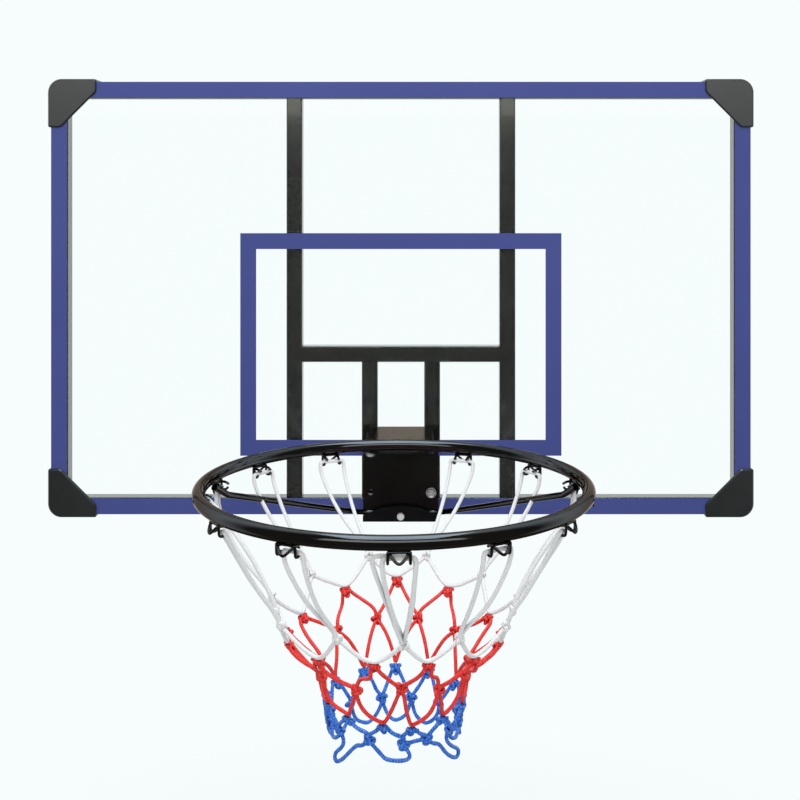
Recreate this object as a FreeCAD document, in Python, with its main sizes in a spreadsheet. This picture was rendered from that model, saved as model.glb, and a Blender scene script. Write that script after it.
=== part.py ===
import FreeCAD, Part
import math
import os
import Sketcher

# Basketball backboard: a clear panel on a welded steel tube frame, a fixed steel rim and a
# three-colour knotted net. Millimetres, +X right, +Z up, and the playing face looks along -Y.
# The origin is the middle of the four mounting holes, on the back plane of the frame.

Vector = FreeCAD.Vector

SIZES = {
    # Clear panel
    "board_width": 1100,
    "board_height": 680,
    "board_thick": 4,
    "board_corner_radius": 17,
    # Coloured film lines on the face of the panel
    "film_thick": 0.2,
    "border_line": 25,
    "target_width": 505,
    "target_height": 350,
    "target_line": 25,
    "target_top": 102,
    # Welded frame of square tube
    "tube_side": 25,
    "tube_wall": 1.5,
    "upright_spacing": 336,
    "crossbar_drop": 89,
    "post_spacing": 98.5,
    # Bonding tape between rails and panel
    "tape_thick": 1,
    "tape_width": 20,
    # Mounting holes and weld nuts in the back walls of the uprights
    "mount_spacing": 300,
    "mount_hole": 8.4,
    "nut_flats": 13,
    "nut_height": 6.5,
    # Corner pads
    "pad_wall": 4,
    "pad_front_wall": 3,
    "pad_back_wall": 3,
    "pad_clearance": 0.3,
    "pad_back_margin": 2,
    "pad_arm": 76,
    "pad_arm_end": 20,
    "pad_inner_radius": 9,
    "pad_edge_bevel": 2,
    "pad_screw_inset": 48,
    "pad_screw_diameter": 4,
    "pad_screw_length": 12,
    "pad_screw_head": 8,
    "pad_screw_head_height": 2.4,
    # Rim plate and its bolts
    "plate_width": 118,
    "plate_height": 145,
    "plate_thick": 5,
    "plate_below_board": 7,
    "rim_bolt_diameter": 8,
    "rim_hole": 9,
    "rim_bolt_rise": 35,
    "rim_bolt_across": 95,
    "rim_bolt_spacing": 64,
    "bolt_head_flats": 11,
    "bolt_head_height": 5,
    "bolt_end": 3,
    "washer_diameter": 16,
    "washer_thick": 1.6,
    # Ring and its arm
    "ring_inner_diameter": 450,
    "ring_tube": 16,
    "ring_reach": 410,
    "weld_gap": 0.3,
    "arm_width": 100,
    "arm_thick": 4,
    "arm_root_height": 28,
    "arm_tip_height": 4.6,
    "arm_corner_radius": 30,
    # Brace rods, their saddle and its screw
    "rod_diameter": 8,
    "rod_bend_radius": 20,
    "rod_rise": 13,
    "rod_inner_end": 14,
    "rod_bend_side": 66,
    "rod_kink_angle": 103.5,
    "rod_kink_inset": 17,
    "rod_kink_drop": 24,
    "rod_kink_radius": 10,
    "rod_weld_angle": 97,
    "saddle_thick": 4,
    "saddle_height": 24,
    "saddle_arch_radius": 120,
    "saddle_screw_rise": 8.5,
    "saddle_screw_head": 12,
    # Net hooks of bent wire
    "hook_wire": 3.2,
    "hook_width": 23,
    "hook_leg": 12.5,
    "hook_tip_inward": 6,
    "hook_tip_drop": 1.5,
    "vee_width": 16,
    "vee_top": 4,
    "vee_depth": 4.5,
    "vee_outward": 6,
    "horn_inward": 9,
    # Net
    "white_cord": 5.2,
    "red_cord": 4.6,
    "blue_cord": 4.6,
    "loop_width": 36,
    "gathered_loop_width": 11,
    "loop_inward": 5.8,
    "loop_drop": 10.8,
    "loop_leg_width": 33,
    "loop_leg_inward": 10,
    "loop_leg_drop": 24,
    "knot_across": 10,
    "knot_tall": 13,
    "wrap_across": 8,
    "wrap_long": 17,
    "white_knot_radius": 157,
    "white_knot_drop": 131,
    "scallop_radius": 143,
    "scallop_drop": 155,
    "scallop_side_sag": 20,
    "white_rear_sag": 30,
    "scallop_rear_sag": 10,
    "red_rear_sag": 6,
    "red_knot_radius": 111,
    "red_knot_drop": 200,
    "red_tip_radius": 85,
    "red_tip_drop": 248,
    "blue_knot_radius": 79,
    "blue_knot_drop": 280,
    "blue_tip_radius": 78,
    "blue_tip_drop": 310,
    "hem_tilt": 11,
    "gather_turn": 6.5,
    "gather_centre": -20,
    "gather_spread": 35,
    "side_turn": 7,
    "side_centre": 115,
    "side_spread": 28,
}

# Hooks as welded, in degrees from the front of the ring to either side
HOOK_ANGLES = [-156, -128, -105, -88, -56.5, -27.3, 2.5, 29.5, 57.5, 86, 105, 128, 157]

# Net loops drawn up on one tip of their hook, by column from the front
GATHERED_COLUMNS = (-4, -3, -2, 2, 3, 4)

# Hem loops that hang out of line, by column: moved along the hem in columns, and raised
LOOSE_HEM = {11: (-0.45, 0), 12: (0.35, 0), 0: (0, 12), 1: (0.55, 0)}

doc = FreeCAD.newDocument("backboard")
sheet = doc.addObject("Spreadsheet::Sheet", "sizes")
for row, (alias, number) in enumerate(SIZES.items(), start=1):
    sheet.set(f"A{row}", alias)
    sheet.set(f"B{row}", str(number))
    sheet.setAlias(f"B{row}", alias)
doc.recompute()

# Levels worked out from the sizes. Depths count forward from the back plane of the frame.
PANEL_BACK = "(sizes.tube_side + sizes.tape_thick)"
PANEL_FRONT = f"({PANEL_BACK} + sizes.board_thick)"
FILM_FRONT = f"({PANEL_FRONT} + sizes.film_thick)"
PLATE_FRONT = f"({FILM_FRONT} + sizes.plate_thick)"
SADDLE_BACK = f"({PLATE_FRONT} + sizes.rod_diameter + 2 * sizes.weld_gap)"
SADDLE_FRONT = f"({SADDLE_BACK} + sizes.saddle_thick)"
BOARD_BOTTOM = "(-sizes.board_height / 2)"
PLATE_BOTTOM = f"({BOARD_BOTTOM} - sizes.plate_below_board)"
BOTTOM_RAIL_TOP = f"({BOARD_BOTTOM} + sizes.tube_side)"
CROSSBAR_BOTTOM = "(-sizes.crossbar_drop - sizes.tube_side / 2)"
RING_RADIUS = "(sizes.ring_inner_diameter / 2 + sizes.ring_tube / 2)"
RING_DEPTH = f"({PANEL_FRONT} + sizes.ring_reach)"
ARM_TOP = f"({PLATE_BOTTOM} + sizes.plate_height)"
RING_LEVEL = f"({ARM_TOP} + sizes.weld_gap + sizes.ring_tube / 2)"
ARM_TIP = f"({RING_DEPTH} - sizes.ring_inner_diameter / 2)"
LOWER_BOLTS = f"({BOARD_BOTTOM} + sizes.rim_bolt_rise)"
UPPER_BOLTS = f"({LOWER_BOLTS} + sizes.rim_bolt_spacing)"
SADDLE_SCREW = f"({PLATE_BOTTOM} + sizes.saddle_screw_rise)"
RIM_HOLES = [(f"{side} * sizes.rim_bolt_across / 2", level)
             for side in (-1, 1) for level in (LOWER_BOLTS, UPPER_BOLTS)]

parts = []


def value(formula):
    """Number that a formula on the sheet gives now."""
    return float(sheet.evalExpression(formula))


def keep(obj, label):
    """Take an object as a finished sub-part under its own name."""
    obj.Label = label
    parts.append(obj)
    return obj


# Sketch and body helpers

def new_body(name):
    return doc.addObject("PartDesign::Body", f"{name}_body")


def sketch_on(body, role, offset="0"):
    """Sketch on one of the body's own planes, moved along the plane's normal."""
    plane = next(item for item in body.Origin.OriginFeatures if item.Role == role)
    sketch = body.newObject("Sketcher::SketchObject", f"{body.Name}_sketch")
    sketch.AttachmentSupport = [(plane, "")]
    sketch.MapMode = "FlatFace"
    sketch.setExpression("AttachmentOffset.Base.z", offset)
    return sketch


def bind_point(sketch, geometry, point, x, y):
    """Hold a sketch point at two formulas."""
    for kind, formula in (("DistanceX", x), ("DistanceY", y)):
        index = sketch.addConstraint(Sketcher.Constraint(kind, -1, 1, geometry, point, value(formula)))
        sketch.setExpression(f"Constraints[{index}]", formula)


def polygon(sketch, corners):
    """Closed outline of straight lines through corners given as formulas."""
    first = sketch.GeometryCount
    count = len(corners)
    points = [Vector(value(x), value(y), 0) for x, y in corners]
    for i in range(count):
        sketch.addGeometry(Part.LineSegment(points[i], points[(i + 1) % count]))
    for i in range(count):
        sketch.addConstraint(Sketcher.Constraint("Coincident", first + i, 2, first + (i + 1) % count, 1))
    for i, (x, y) in enumerate(corners):
        bind_point(sketch, first + i, 1, x, y)


def rectangle(sketch, x, y, width, height):
    """Rectangle about a centre."""
    left, right = f"{x} - ({width}) / 2", f"{x} + ({width}) / 2"
    low, high = f"{y} - ({height}) / 2", f"{y} + ({height}) / 2"
    polygon(sketch, [(left, low), (right, low), (right, high), (left, high)])


def circle(sketch, x, y, diameter):
    centre = Vector(value(x), value(y), 0)
    geometry = sketch.addGeometry(Part.Circle(centre, Vector(0, 0, 1), value(diameter) / 2))
    bind_point(sketch, geometry, 3, x, y)
    index = sketch.addConstraint(Sketcher.Constraint("Diameter", geometry, value(diameter)))
    sketch.setExpression(f"Constraints[{index}]", diameter)


def pad(body, sketch, length):
    feature = body.newObject("PartDesign::Pad", f"{body.Name}_pad")
    feature.Profile = sketch
    feature.setExpression("Length", length)
    doc.recompute()
    return feature


def pocket_forward(body, sketch, depth=None):
    """Cut from a sketch on the XZ plane towards the front, through everything unless a depth is given."""
    before = body.Shape.Volume
    feature = body.newObject("PartDesign::Pocket", f"{body.Name}_pocket")
    feature.Profile = sketch
    feature.Reversed = True
    if depth is None:
        feature.Type = "ThroughAll"
    else:
        feature.setExpression("Length", depth)
    doc.recompute()
    if body.Shape.Volume >= before:
        raise RuntimeError(f"{feature.Name} cut nothing")
    return feature


def fillet(body, base, edges, radius):
    feature = body.newObject("PartDesign::Fillet", f"{body.Name}_fillet")
    feature.Base = (base, edges)
    feature.setExpression("Radius", radius)
    doc.recompute()
    return feature


def depth_edges(shape, x, z):
    """Names of the edges that run front to back at a place in the XZ plane."""
    names = []
    for number, edge in enumerate(shape.Edges, start=1):
        ends = [vertex.Point for vertex in edge.Vertexes]
        if len(ends) == 2 and all(math.hypot(end.x - x, end.z - z) < 0.01 for end in ends):
            names.append(f"Edge{number}")
    return names


def corner_edges(shape, width, height):
    """Front-to-back edges at the four corners of a centred rectangle."""
    names = []
    for x in (-width / 2, width / 2):
        for z in (-height / 2, height / 2):
            names += depth_edges(shape, x, z)
    return names


# Clear panel

def clear_panel():
    body = new_body("panel")
    sketch = sketch_on(body, "XZ_Plane", PANEL_BACK)
    rectangle(sketch, "0", "0", "sizes.board_width", "sizes.board_height")
    for x, z in RIM_HOLES:
        circle(sketch, x, z, "sizes.rim_hole")
    sheet_pad = pad(body, sketch, "sizes.board_thick")
    edges = corner_edges(sheet_pad.Shape, value("sizes.board_width"), value("sizes.board_height"))
    fillet(body, sheet_pad, edges, "sizes.board_corner_radius")
    keep(body, "clear_panel")


# Film lines on the face: the border along the edge and the shooter's square

def border_film():
    body = new_body("border")
    sketch = sketch_on(body, "XZ_Plane", PANEL_FRONT)
    rectangle(sketch, "0", "0", "sizes.board_width", "sizes.board_height")
    rectangle(sketch, "0", "0", "sizes.board_width - 2 * sizes.border_line",
              "sizes.board_height - 2 * sizes.border_line")
    film = pad(body, sketch, "sizes.film_thick")
    edges = corner_edges(film.Shape, value("sizes.board_width"), value("sizes.board_height"))
    fillet(body, film, edges, "sizes.board_corner_radius")
    keep(body, "border_film")


def target_film():
    body = new_body("target")
    sketch = sketch_on(body, "XZ_Plane", PANEL_FRONT)
    centre = "sizes.target_top - sizes.target_height / 2"
    rectangle(sketch, "0", centre, "sizes.target_width", "sizes.target_height")
    rectangle(sketch, "0", centre, "sizes.target_width - 2 * sizes.target_line",
              "sizes.target_height - 2 * sizes.target_line")
    pad(body, sketch, "sizes.film_thick")
    keep(body, "target_film")


# Welded frame of square tube

def tube_profile(sketch, x, y):
    rectangle(sketch, x, y, "sizes.tube_side", "sizes.tube_side")
    bore = "sizes.tube_side - 2 * sizes.tube_wall"
    rectangle(sketch, x, y, bore, bore)


def level_tube(name, left, length, z):
    """Tube along X, its back face on the back plane."""
    body = new_body(name)
    sketch = sketch_on(body, "YZ_Plane", left)
    tube_profile(sketch, "-sizes.tube_side / 2", z)
    pad(body, sketch, length)
    return body


def standing_tube(name, x, bottom, length):
    """Tube along Z, its back face on the back plane."""
    body = new_body(name)
    sketch = sketch_on(body, "XY_Plane", bottom)
    tube_profile(sketch, x, "-sizes.tube_side / 2")
    pad(body, sketch, length)
    return body


def back_wall_holes(body, places, diameter):
    """Holes in the back wall only."""
    sketch = sketch_on(body, "XZ_Plane")
    for x, z in places:
        circle(sketch, x, z, diameter)
    pocket_forward(body, sketch, "2 * sizes.tube_wall")


def rail_screw_places(side_x, side_z):
    """Where the two screws of a corner pad enter the level rail and the side rail."""
    edge_x, edge_z = f"{side_x} * (sizes.board_width / 2", f"{side_z} * (sizes.board_height / 2"
    on_level = (f"{edge_x} - sizes.pad_screw_inset)", f"{edge_z} - sizes.tube_side / 2)")
    on_side = (f"{edge_x} - sizes.tube_side / 2)", f"{edge_z} - sizes.pad_screw_inset)")
    return on_level, on_side


def level_rails():
    length = "sizes.board_width - 2 * sizes.tube_side"
    left = "sizes.tube_side - sizes.board_width / 2"
    for name, side_z in (("frame_bottom_rail", -1), ("frame_top_rail", 1)):
        z = f"{side_z} * (sizes.board_height - sizes.tube_side) / 2"
        body = level_tube(name, left, length, z)
        places = [rail_screw_places(side_x, side_z)[0] for side_x in (-1, 1)]
        back_wall_holes(body, places, "sizes.pad_screw_diameter + sizes.pad_clearance")
        keep(body, name)


def side_rails():
    """Full-height rails, clipped at the outer corners so that they lie inside the rounded panel."""
    for name, side_x in (("frame_left_rail", -1), ("frame_right_rail", 1)):
        x = f"{side_x} * (sizes.board_width - sizes.tube_side) / 2"
        body = standing_tube(name, x, BOARD_BOTTOM, "sizes.board_height")
        clip = sketch_on(body, "XZ_Plane")
        edge, inner = f"{side_x} * sizes.board_width / 2", f"{side_x} * (sizes.board_width / 2"
        for side_z in (-1, 1):
            end, low = f"{side_z} * sizes.board_height / 2", f"{side_z} * (sizes.board_height / 2"
            polygon(clip, [(edge, end), (f"{inner} - sizes.board_corner_radius)", end),
                           (edge, f"{low} - sizes.board_corner_radius)")])
        pocket_forward(body, clip)
        places = [rail_screw_places(side_x, side_z)[1] for side_z in (-1, 1)]
        back_wall_holes(body, places, "sizes.pad_screw_diameter + sizes.pad_clearance")
        keep(body, name)


def uprights():
    length = "sizes.board_height - 2 * sizes.tube_side"
    for name, side_x in (("left_upright", -1), ("right_upright", 1)):
        x = f"{side_x} * sizes.upright_spacing / 2"
        body = standing_tube(name, x, BOTTOM_RAIL_TOP, length)
        back_wall_holes(body, [(x, f"{side_z} * sizes.mount_spacing / 2") for side_z in (-1, 1)],
                        "sizes.mount_hole")
        keep(body, name)


def crossbar_and_posts():
    length = "sizes.upright_spacing - sizes.tube_side"
    keep(level_tube("crossbar", f"-({length}) / 2", length, "-sizes.crossbar_drop"), "crossbar")
    for name, side_x in (("left_rim_post", -1), ("right_rim_post", 1)):
        x = f"{side_x} * sizes.post_spacing / 2"
        body = standing_tube(name, x, BOTTOM_RAIL_TOP, f"{CROSSBAR_BOTTOM} - {BOTTOM_RAIL_TOP}")
        holes = sketch_on(body, "XZ_Plane")
        for level in (LOWER_BOLTS, UPPER_BOLTS):
            circle(holes, f"{side_x} * sizes.rim_bolt_across / 2", level, "sizes.rim_hole")
        pocket_forward(body, holes)
        keep(body, name)


# Tape between rails and panel, and rubber spacers at the rim holes

def bound_box(name, length, width, height, x, y, z):
    """Box with its low corner at three formulas."""
    box = doc.addObject("Part::Box", name)
    for field, formula in (("Length", length), ("Width", width), ("Height", height),
                           ("Placement.Base.x", x), ("Placement.Base.y", y), ("Placement.Base.z", z)):
        box.setExpression(field, formula)
    return box


def bound_cylinder(name, diameter, length, x, depth, z):
    """Cylinder that starts at a depth and runs back along +Y."""
    cylinder = doc.addObject("Part::Cylinder", name)
    cylinder.setExpression("Radius", f"({diameter}) / 2")
    cylinder.setExpression("Height", length)
    cylinder.Placement.Rotation = FreeCAD.Rotation(Vector(0, 0, 1), Vector(0, 1, 0))
    for field, formula in (("x", x), ("y", f"-({depth})"), ("z", z)):
        cylinder.setExpression(f"Placement.Base.{field}", formula)
    return cylinder


def group(label, members):
    """Several like solids as one sub-part."""
    compound = doc.addObject("Part::Compound", f"{label}_group")
    compound.Links = members
    doc.recompute()
    keep(compound, label)


def panel_tape():
    inset = "(sizes.tube_side - sizes.tape_width) / 2"
    clear = "(sizes.tube_side + sizes.board_corner_radius)"
    along_x, along_z = f"sizes.board_width - 2 * {clear}", f"sizes.board_height - 2 * {clear}"
    strips = []
    for side in (-1, 1):
        middle_x = f"{side} * (sizes.board_width - sizes.tube_side) / 2"
        middle_z = f"{side} * (sizes.board_height - sizes.tube_side) / 2"
        strips.append(bound_box("level_tape", along_x, "sizes.tape_thick", "sizes.tape_width",
                                f"-({along_x}) / 2", f"-{PANEL_BACK}", f"{middle_z} - sizes.tape_width / 2"))
        strips.append(bound_box("side_tape", "sizes.tape_width", "sizes.tape_thick", along_z,
                                f"{middle_x} - sizes.tape_width / 2", f"-{PANEL_BACK}", f"-({along_z}) / 2"))
    group("panel_tape", strips)


def ring_of(name, outer, hole, length, x, depth, z):
    """Washer-shaped solid along Y."""
    cut = doc.addObject("Part::Cut", f"{name}_cut")
    cut.Base = bound_cylinder(f"{name}_disc", outer, length, x, depth, z)
    cut.Tool = bound_cylinder(f"{name}_hole", hole, length, x, depth, z)
    return cut


def panel_spacers():
    group("panel_spacers", [ring_of("spacer", "sizes.tape_width", "sizes.rim_hole", "sizes.tape_thick",
                                    x, PANEL_BACK, z) for x, z in RIM_HOLES])


# Moulded corner pads: a front wall, two edge walls and a back wall round each corner

def corner_pad(label, side_x, side_z):
    reach_x = f"{side_x} * (sizes.board_width / 2 + sizes.pad_clearance + sizes.pad_wall"
    reach_z = f"{side_z} * (sizes.board_height / 2 + sizes.pad_clearance + sizes.pad_wall"
    body = new_body(label)
    back = "-(sizes.pad_clearance + sizes.pad_back_wall)"
    depth = f"{FILM_FRONT} + 2 * sizes.pad_clearance + sizes.pad_front_wall + sizes.pad_back_wall"
    outline = sketch_on(body, "XZ_Plane", back)
    outer = (f"{reach_x})", f"{reach_z})")
    arm_x = (f"{reach_x} - sizes.pad_arm)", f"{reach_z})")
    knee_x = (f"{reach_x} - sizes.pad_arm)", f"{reach_z} - sizes.pad_arm_end)")
    knee_z = (f"{reach_x} - sizes.pad_arm_end)", f"{reach_z} - sizes.pad_arm)")
    arm_z = (f"{reach_x})", f"{reach_z} - sizes.pad_arm)")
    polygon(outline, [outer, arm_x, knee_x, knee_z, arm_z])
    pad(body, outline, depth)
    cavity = sketch_on(body, "XZ_Plane", "-sizes.pad_clearance")
    near_x, near_z = f"{reach_x} - sizes.pad_wall)", f"{reach_z} - sizes.pad_wall)"
    far_x, far_z = f"{reach_x} - 2 * sizes.pad_arm)", f"{reach_z} - 2 * sizes.pad_arm)"
    polygon(cavity, [(near_x, near_z), (far_x, near_z), (far_x, far_z), (near_x, far_z)])
    feature = pocket_forward(body, cavity, f"{FILM_FRONT} + 2 * sizes.pad_clearance")
    inner_radius = "sizes.board_corner_radius + sizes.pad_clearance"
    for corners, radius in (([(near_x, near_z)], inner_radius),
                            ([outer], f"{inner_radius} + sizes.pad_wall"),
                            ([knee_x, knee_z], "sizes.pad_inner_radius"),
                            ([arm_x, arm_z], "0.75 * sizes.pad_wall")):
        edges = []
        for x, z in corners:
            edges += depth_edges(feature.Shape, value(x), value(z))
        feature = fillet(body, feature, edges, radius)
    front = -value(f"{depth} + {back}")
    rim_edges = [f"Edge{number}" for number, edge in enumerate(feature.Shape.Edges, start=1)
                 if all(abs(vertex.Point.y - front) < 0.01 for vertex in edge.Vertexes)]
    bevel = body.newObject("PartDesign::Chamfer", f"{body.Name}_bevel")
    bevel.Base = (feature, rim_edges)
    bevel.setExpression("Size", "sizes.pad_edge_bevel")
    doc.recompute()
    opening = sketch_on(body, "XZ_Plane", back)
    over_rail = "sizes.pad_clearance - sizes.pad_wall - sizes.tube_side + sizes.pad_back_margin"
    rail_x, rail_z = f"{reach_x} - {over_rail})", f"{reach_z} - {over_rail})"
    polygon(opening, [(rail_x, rail_z), (far_x, rail_z), (far_x, far_z), (rail_x, far_z)])
    pocket_forward(body, opening, "sizes.pad_back_wall + sizes.pad_clearance")
    holes = sketch_on(body, "XZ_Plane", back)
    for x, z in rail_screw_places(side_x, side_z):
        circle(holes, x, z, "sizes.pad_screw_diameter + 2 * sizes.pad_clearance")
    pocket_forward(body, holes, "sizes.pad_back_wall + sizes.pad_clearance")
    keep(body, label)


def corner_pads():
    for row_name, side_z in (("top", 1), ("bottom", -1)):
        for column_name, side_x in (("left", -1), ("right", 1)):
            corner_pad(f"corner_pad_{row_name}_{column_name}", side_x, side_z)


def fused(name, members):
    union = doc.addObject("Part::MultiFuse", f"{name}_union")
    union.Shapes = members
    return union


def pad_screws():
    pad_back = "(sizes.pad_clearance + sizes.pad_back_wall)"
    screws = []
    for side_x in (-1, 1):
        for side_z in (-1, 1):
            for x, z in rail_screw_places(side_x, side_z):
                shank = bound_cylinder("pad_screw_shank", "sizes.pad_screw_diameter",
                                       "sizes.pad_screw_length", x, f"sizes.pad_screw_length - {pad_back}", z)
                head = bound_cylinder("pad_screw_head", "sizes.pad_screw_head",
                                      "sizes.pad_screw_head_height", x, f"-{pad_back}", z)
                screws.append(fused("pad_screw", [shank, head]))
    group("corner_pad_screws", screws)


# Hexagons along Y for nuts and bolt heads

def hexagon_along_y(name, flats, length, x, depth, z):
    prism = doc.addObject("Part::Prism", name)
    prism.Polygon = 6
    prism.setExpression("Circumradius", f"({flats}) / sqrt(3)")
    prism.setExpression("Height", length)
    prism.Placement.Rotation = FreeCAD.Rotation(Vector(0, 0, 1), Vector(0, 1, 0))
    for field, formula in (("x", x), ("y", f"-({depth})"), ("z", z)):
        prism.setExpression(f"Placement.Base.{field}", formula)
    return prism


def bored_nut(name, bore, x, depth, z):
    cut = doc.addObject("Part::Cut", f"{name}_cut")
    cut.Base = hexagon_along_y(f"{name}_hexagon", "sizes.nut_flats", "sizes.nut_height", x, depth, z)
    cut.Tool = bound_cylinder(f"{name}_bore", bore, "sizes.nut_height", x, depth, z)
    return cut


def mounting_nuts():
    places = [(f"{side_x} * sizes.upright_spacing / 2", f"{side_z} * sizes.mount_spacing / 2")
              for side_x in (-1, 1) for side_z in (-1, 1)]
    depth = "sizes.tube_wall + sizes.nut_height"
    group("mounting_nuts", [bored_nut("mounting_nut", "sizes.mount_hole", x, depth, z) for x, z in places])


# Rim plate with its bolts: two of the four holes hold bolts

def rim_plate():
    body = new_body("rim_plate")
    sketch = sketch_on(body, "XZ_Plane", FILM_FRONT)
    middle = f"{PLATE_BOTTOM} + sizes.plate_height / 2"
    rectangle(sketch, "0", middle, "sizes.plate_width", "sizes.plate_height")
    for x, z in RIM_HOLES:
        circle(sketch, x, z, "sizes.rim_hole")
    circle(sketch, "0", SADDLE_SCREW, "sizes.rim_bolt_diameter + sizes.weld_gap")
    pad(body, sketch, "sizes.plate_thick")
    keep(body, "rim_plate")


def rim_fasteners():
    left, right = "-sizes.rim_bolt_across / 2", "sizes.rim_bolt_across / 2"
    places = [(left, UPPER_BOLTS), (right, LOWER_BOLTS)]
    washer_front = f"({PLATE_FRONT} + sizes.washer_thick)"
    behind = "(sizes.washer_thick + sizes.nut_height + sizes.bolt_end)"
    bolts, nuts, front_washers, back_washers = [], [], [], []
    for x, z in places:
        shank = bound_cylinder("rim_bolt_shank", "sizes.rim_bolt_diameter", f"{washer_front} + {behind}",
                               x, washer_front, z)
        head = hexagon_along_y("rim_bolt_head", "sizes.bolt_head_flats", "sizes.bolt_head_height",
                               x, f"{washer_front} + sizes.bolt_head_height", z)
        bolts.append(fused("rim_bolt", [shank, head]))
        front_washers.append(ring_of("rim_washer", "sizes.washer_diameter", "sizes.mount_hole",
                                     "sizes.washer_thick", x, washer_front, z))
        back_washers.append(ring_of("back_washer", "sizes.washer_diameter", "sizes.mount_hole",
                                    "sizes.washer_thick", x, "0", z))
        nuts.append(bored_nut("rim_nut", "sizes.rim_bolt_diameter + sizes.weld_gap",
                              x, "-sizes.washer_thick", z))
    group("rim_bolts", bolts)
    group("rim_front_washers", front_washers)
    group("rim_back_washers", back_washers)
    group("rim_nuts", nuts)


# Ring and the folded arm that carries its back

def rim_ring():
    ring = doc.addObject("Part::Torus", "ring_torus")
    ring.setExpression("Radius1", RING_RADIUS)
    ring.setExpression("Radius2", "sizes.ring_tube / 2")
    ring.setExpression("Placement.Base.y", f"-{RING_DEPTH}")
    ring.setExpression("Placement.Base.z", RING_LEVEL)
    keep(ring, "rim_ring")


def rim_arm():
    """Flat top with two tapering sides folded down, welded to the plate and under the ring."""
    body = new_body("rim_arm")
    side = sketch_on(body, "YZ_Plane", "-sizes.arm_width / 2")
    root, tip = f"-{PLATE_FRONT}", f"-{ARM_TIP}"
    polygon(side, [(root, ARM_TOP), (tip, ARM_TOP), (tip, f"{ARM_TOP} - sizes.arm_tip_height"),
                   (root, f"{ARM_TOP} - sizes.arm_root_height")])
    block = pad(body, side, "sizes.arm_width")
    names = []
    for number, edge in enumerate(block.Shape.Edges, start=1):
        ends = [vertex.Point for vertex in edge.Vertexes]
        upright = abs(ends[0].z - ends[1].z) > value("sizes.arm_tip_height") / 2
        if upright and all(abs(end.y - value(tip)) < 0.01 for end in ends):
            names.append(f"Edge{number}")
    fillet(body, block, names, "sizes.arm_corner_radius")
    under = sketch_on(body, "YZ_Plane", "sizes.arm_thick - sizes.arm_width / 2")
    ceiling, floor = f"{ARM_TOP} - sizes.arm_thick", f"{ARM_TOP} - 2 * sizes.arm_root_height"
    beyond = f"-({ARM_TIP} + sizes.arm_width)"
    polygon(under, [(root, ceiling), (beyond, ceiling), (beyond, floor), (root, floor)])
    pocket_forward(body, under, "sizes.arm_width - 2 * sizes.arm_thick")
    keep(body, "rim_arm")


# Braces: bent rods from the sides of the ring to the foot of the rim plate

def on_ring(degrees, inset=0, drop=0):
    """Point at an angle from the front of the ring, moved inward and down from its centreline."""
    angle = math.radians(degrees)
    radius = value(RING_RADIUS) - inset
    return Vector(radius * math.sin(angle), -value(RING_DEPTH) - radius * math.cos(angle),
                  value(RING_LEVEL) - drop)


def bent_path(points, radii):
    """Straight runs joined by tangent arcs, one radius for each inner point."""
    edges = []
    start = points[0]
    for i, radius in enumerate(radii, start=1):
        before, corner, after = points[i - 1], points[i], points[i + 1]
        arrive = (corner - before).normalize()
        leave = (after - corner).normalize()
        turn = arrive.getAngle(leave)
        setback = radius * math.tan(turn / 2)
        first, last = corner - arrive * setback, corner + leave * setback
        inward = (leave - arrive).normalize()
        middle = corner + inward * (radius / math.cos(turn / 2) - radius)
        edges.append(Part.LineSegment(start, first).toShape())
        edges.append(Part.Arc(first, middle, last).toShape())
        start = last
    edges.append(Part.LineSegment(start, points[-1]).toShape())
    return Part.Wire(edges)


def round_bar(path, diameter):
    """Round bar along a path, checked against its section times its length."""
    start = path.Edges[0].valueAt(path.Edges[0].FirstParameter)
    heading = path.Edges[0].tangentAt(path.Edges[0].FirstParameter)
    section = Part.Wire(Part.Circle(start, heading, diameter / 2).toShape())
    bar = path.makePipeShell([section], True, False)
    expected = math.pi * diameter ** 2 / 4 * path.Length
    if abs(bar.Volume - expected) > 0.01 * expected:
        raise RuntimeError("bar volume differs from its section times its length")
    return bar


def brace_rods():
    rod = value("sizes.rod_diameter")
    beside_plate = value(f"{PLATE_FRONT} + sizes.weld_gap") + rod / 2
    level = value(f"{PLATE_BOTTOM} + sizes.rod_rise")
    touch = (value("sizes.ring_tube") + rod) / 2 + value("sizes.weld_gap")
    diagonal = touch * math.sqrt(0.5)
    for label, side in (("left_brace_rod", -1), ("right_brace_rod", 1)):
        weld = on_ring(side * value("sizes.rod_weld_angle"), diagonal, diagonal)
        kink = on_ring(side * value("sizes.rod_kink_angle"), value("sizes.rod_kink_inset"),
                       value("sizes.rod_kink_drop"))
        bend = Vector(side * value("sizes.rod_bend_side"), -beside_plate, level)
        inner = Vector(side * value("sizes.rod_inner_end"), -beside_plate, level)
        path = bent_path([weld, kink, bend, inner],
                         [value("sizes.rod_kink_radius"), value("sizes.rod_bend_radius")])
        brace = doc.addObject("Part::Feature", label)
        brace.Shape = round_bar(path, rod)
        keep(brace, label)


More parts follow.
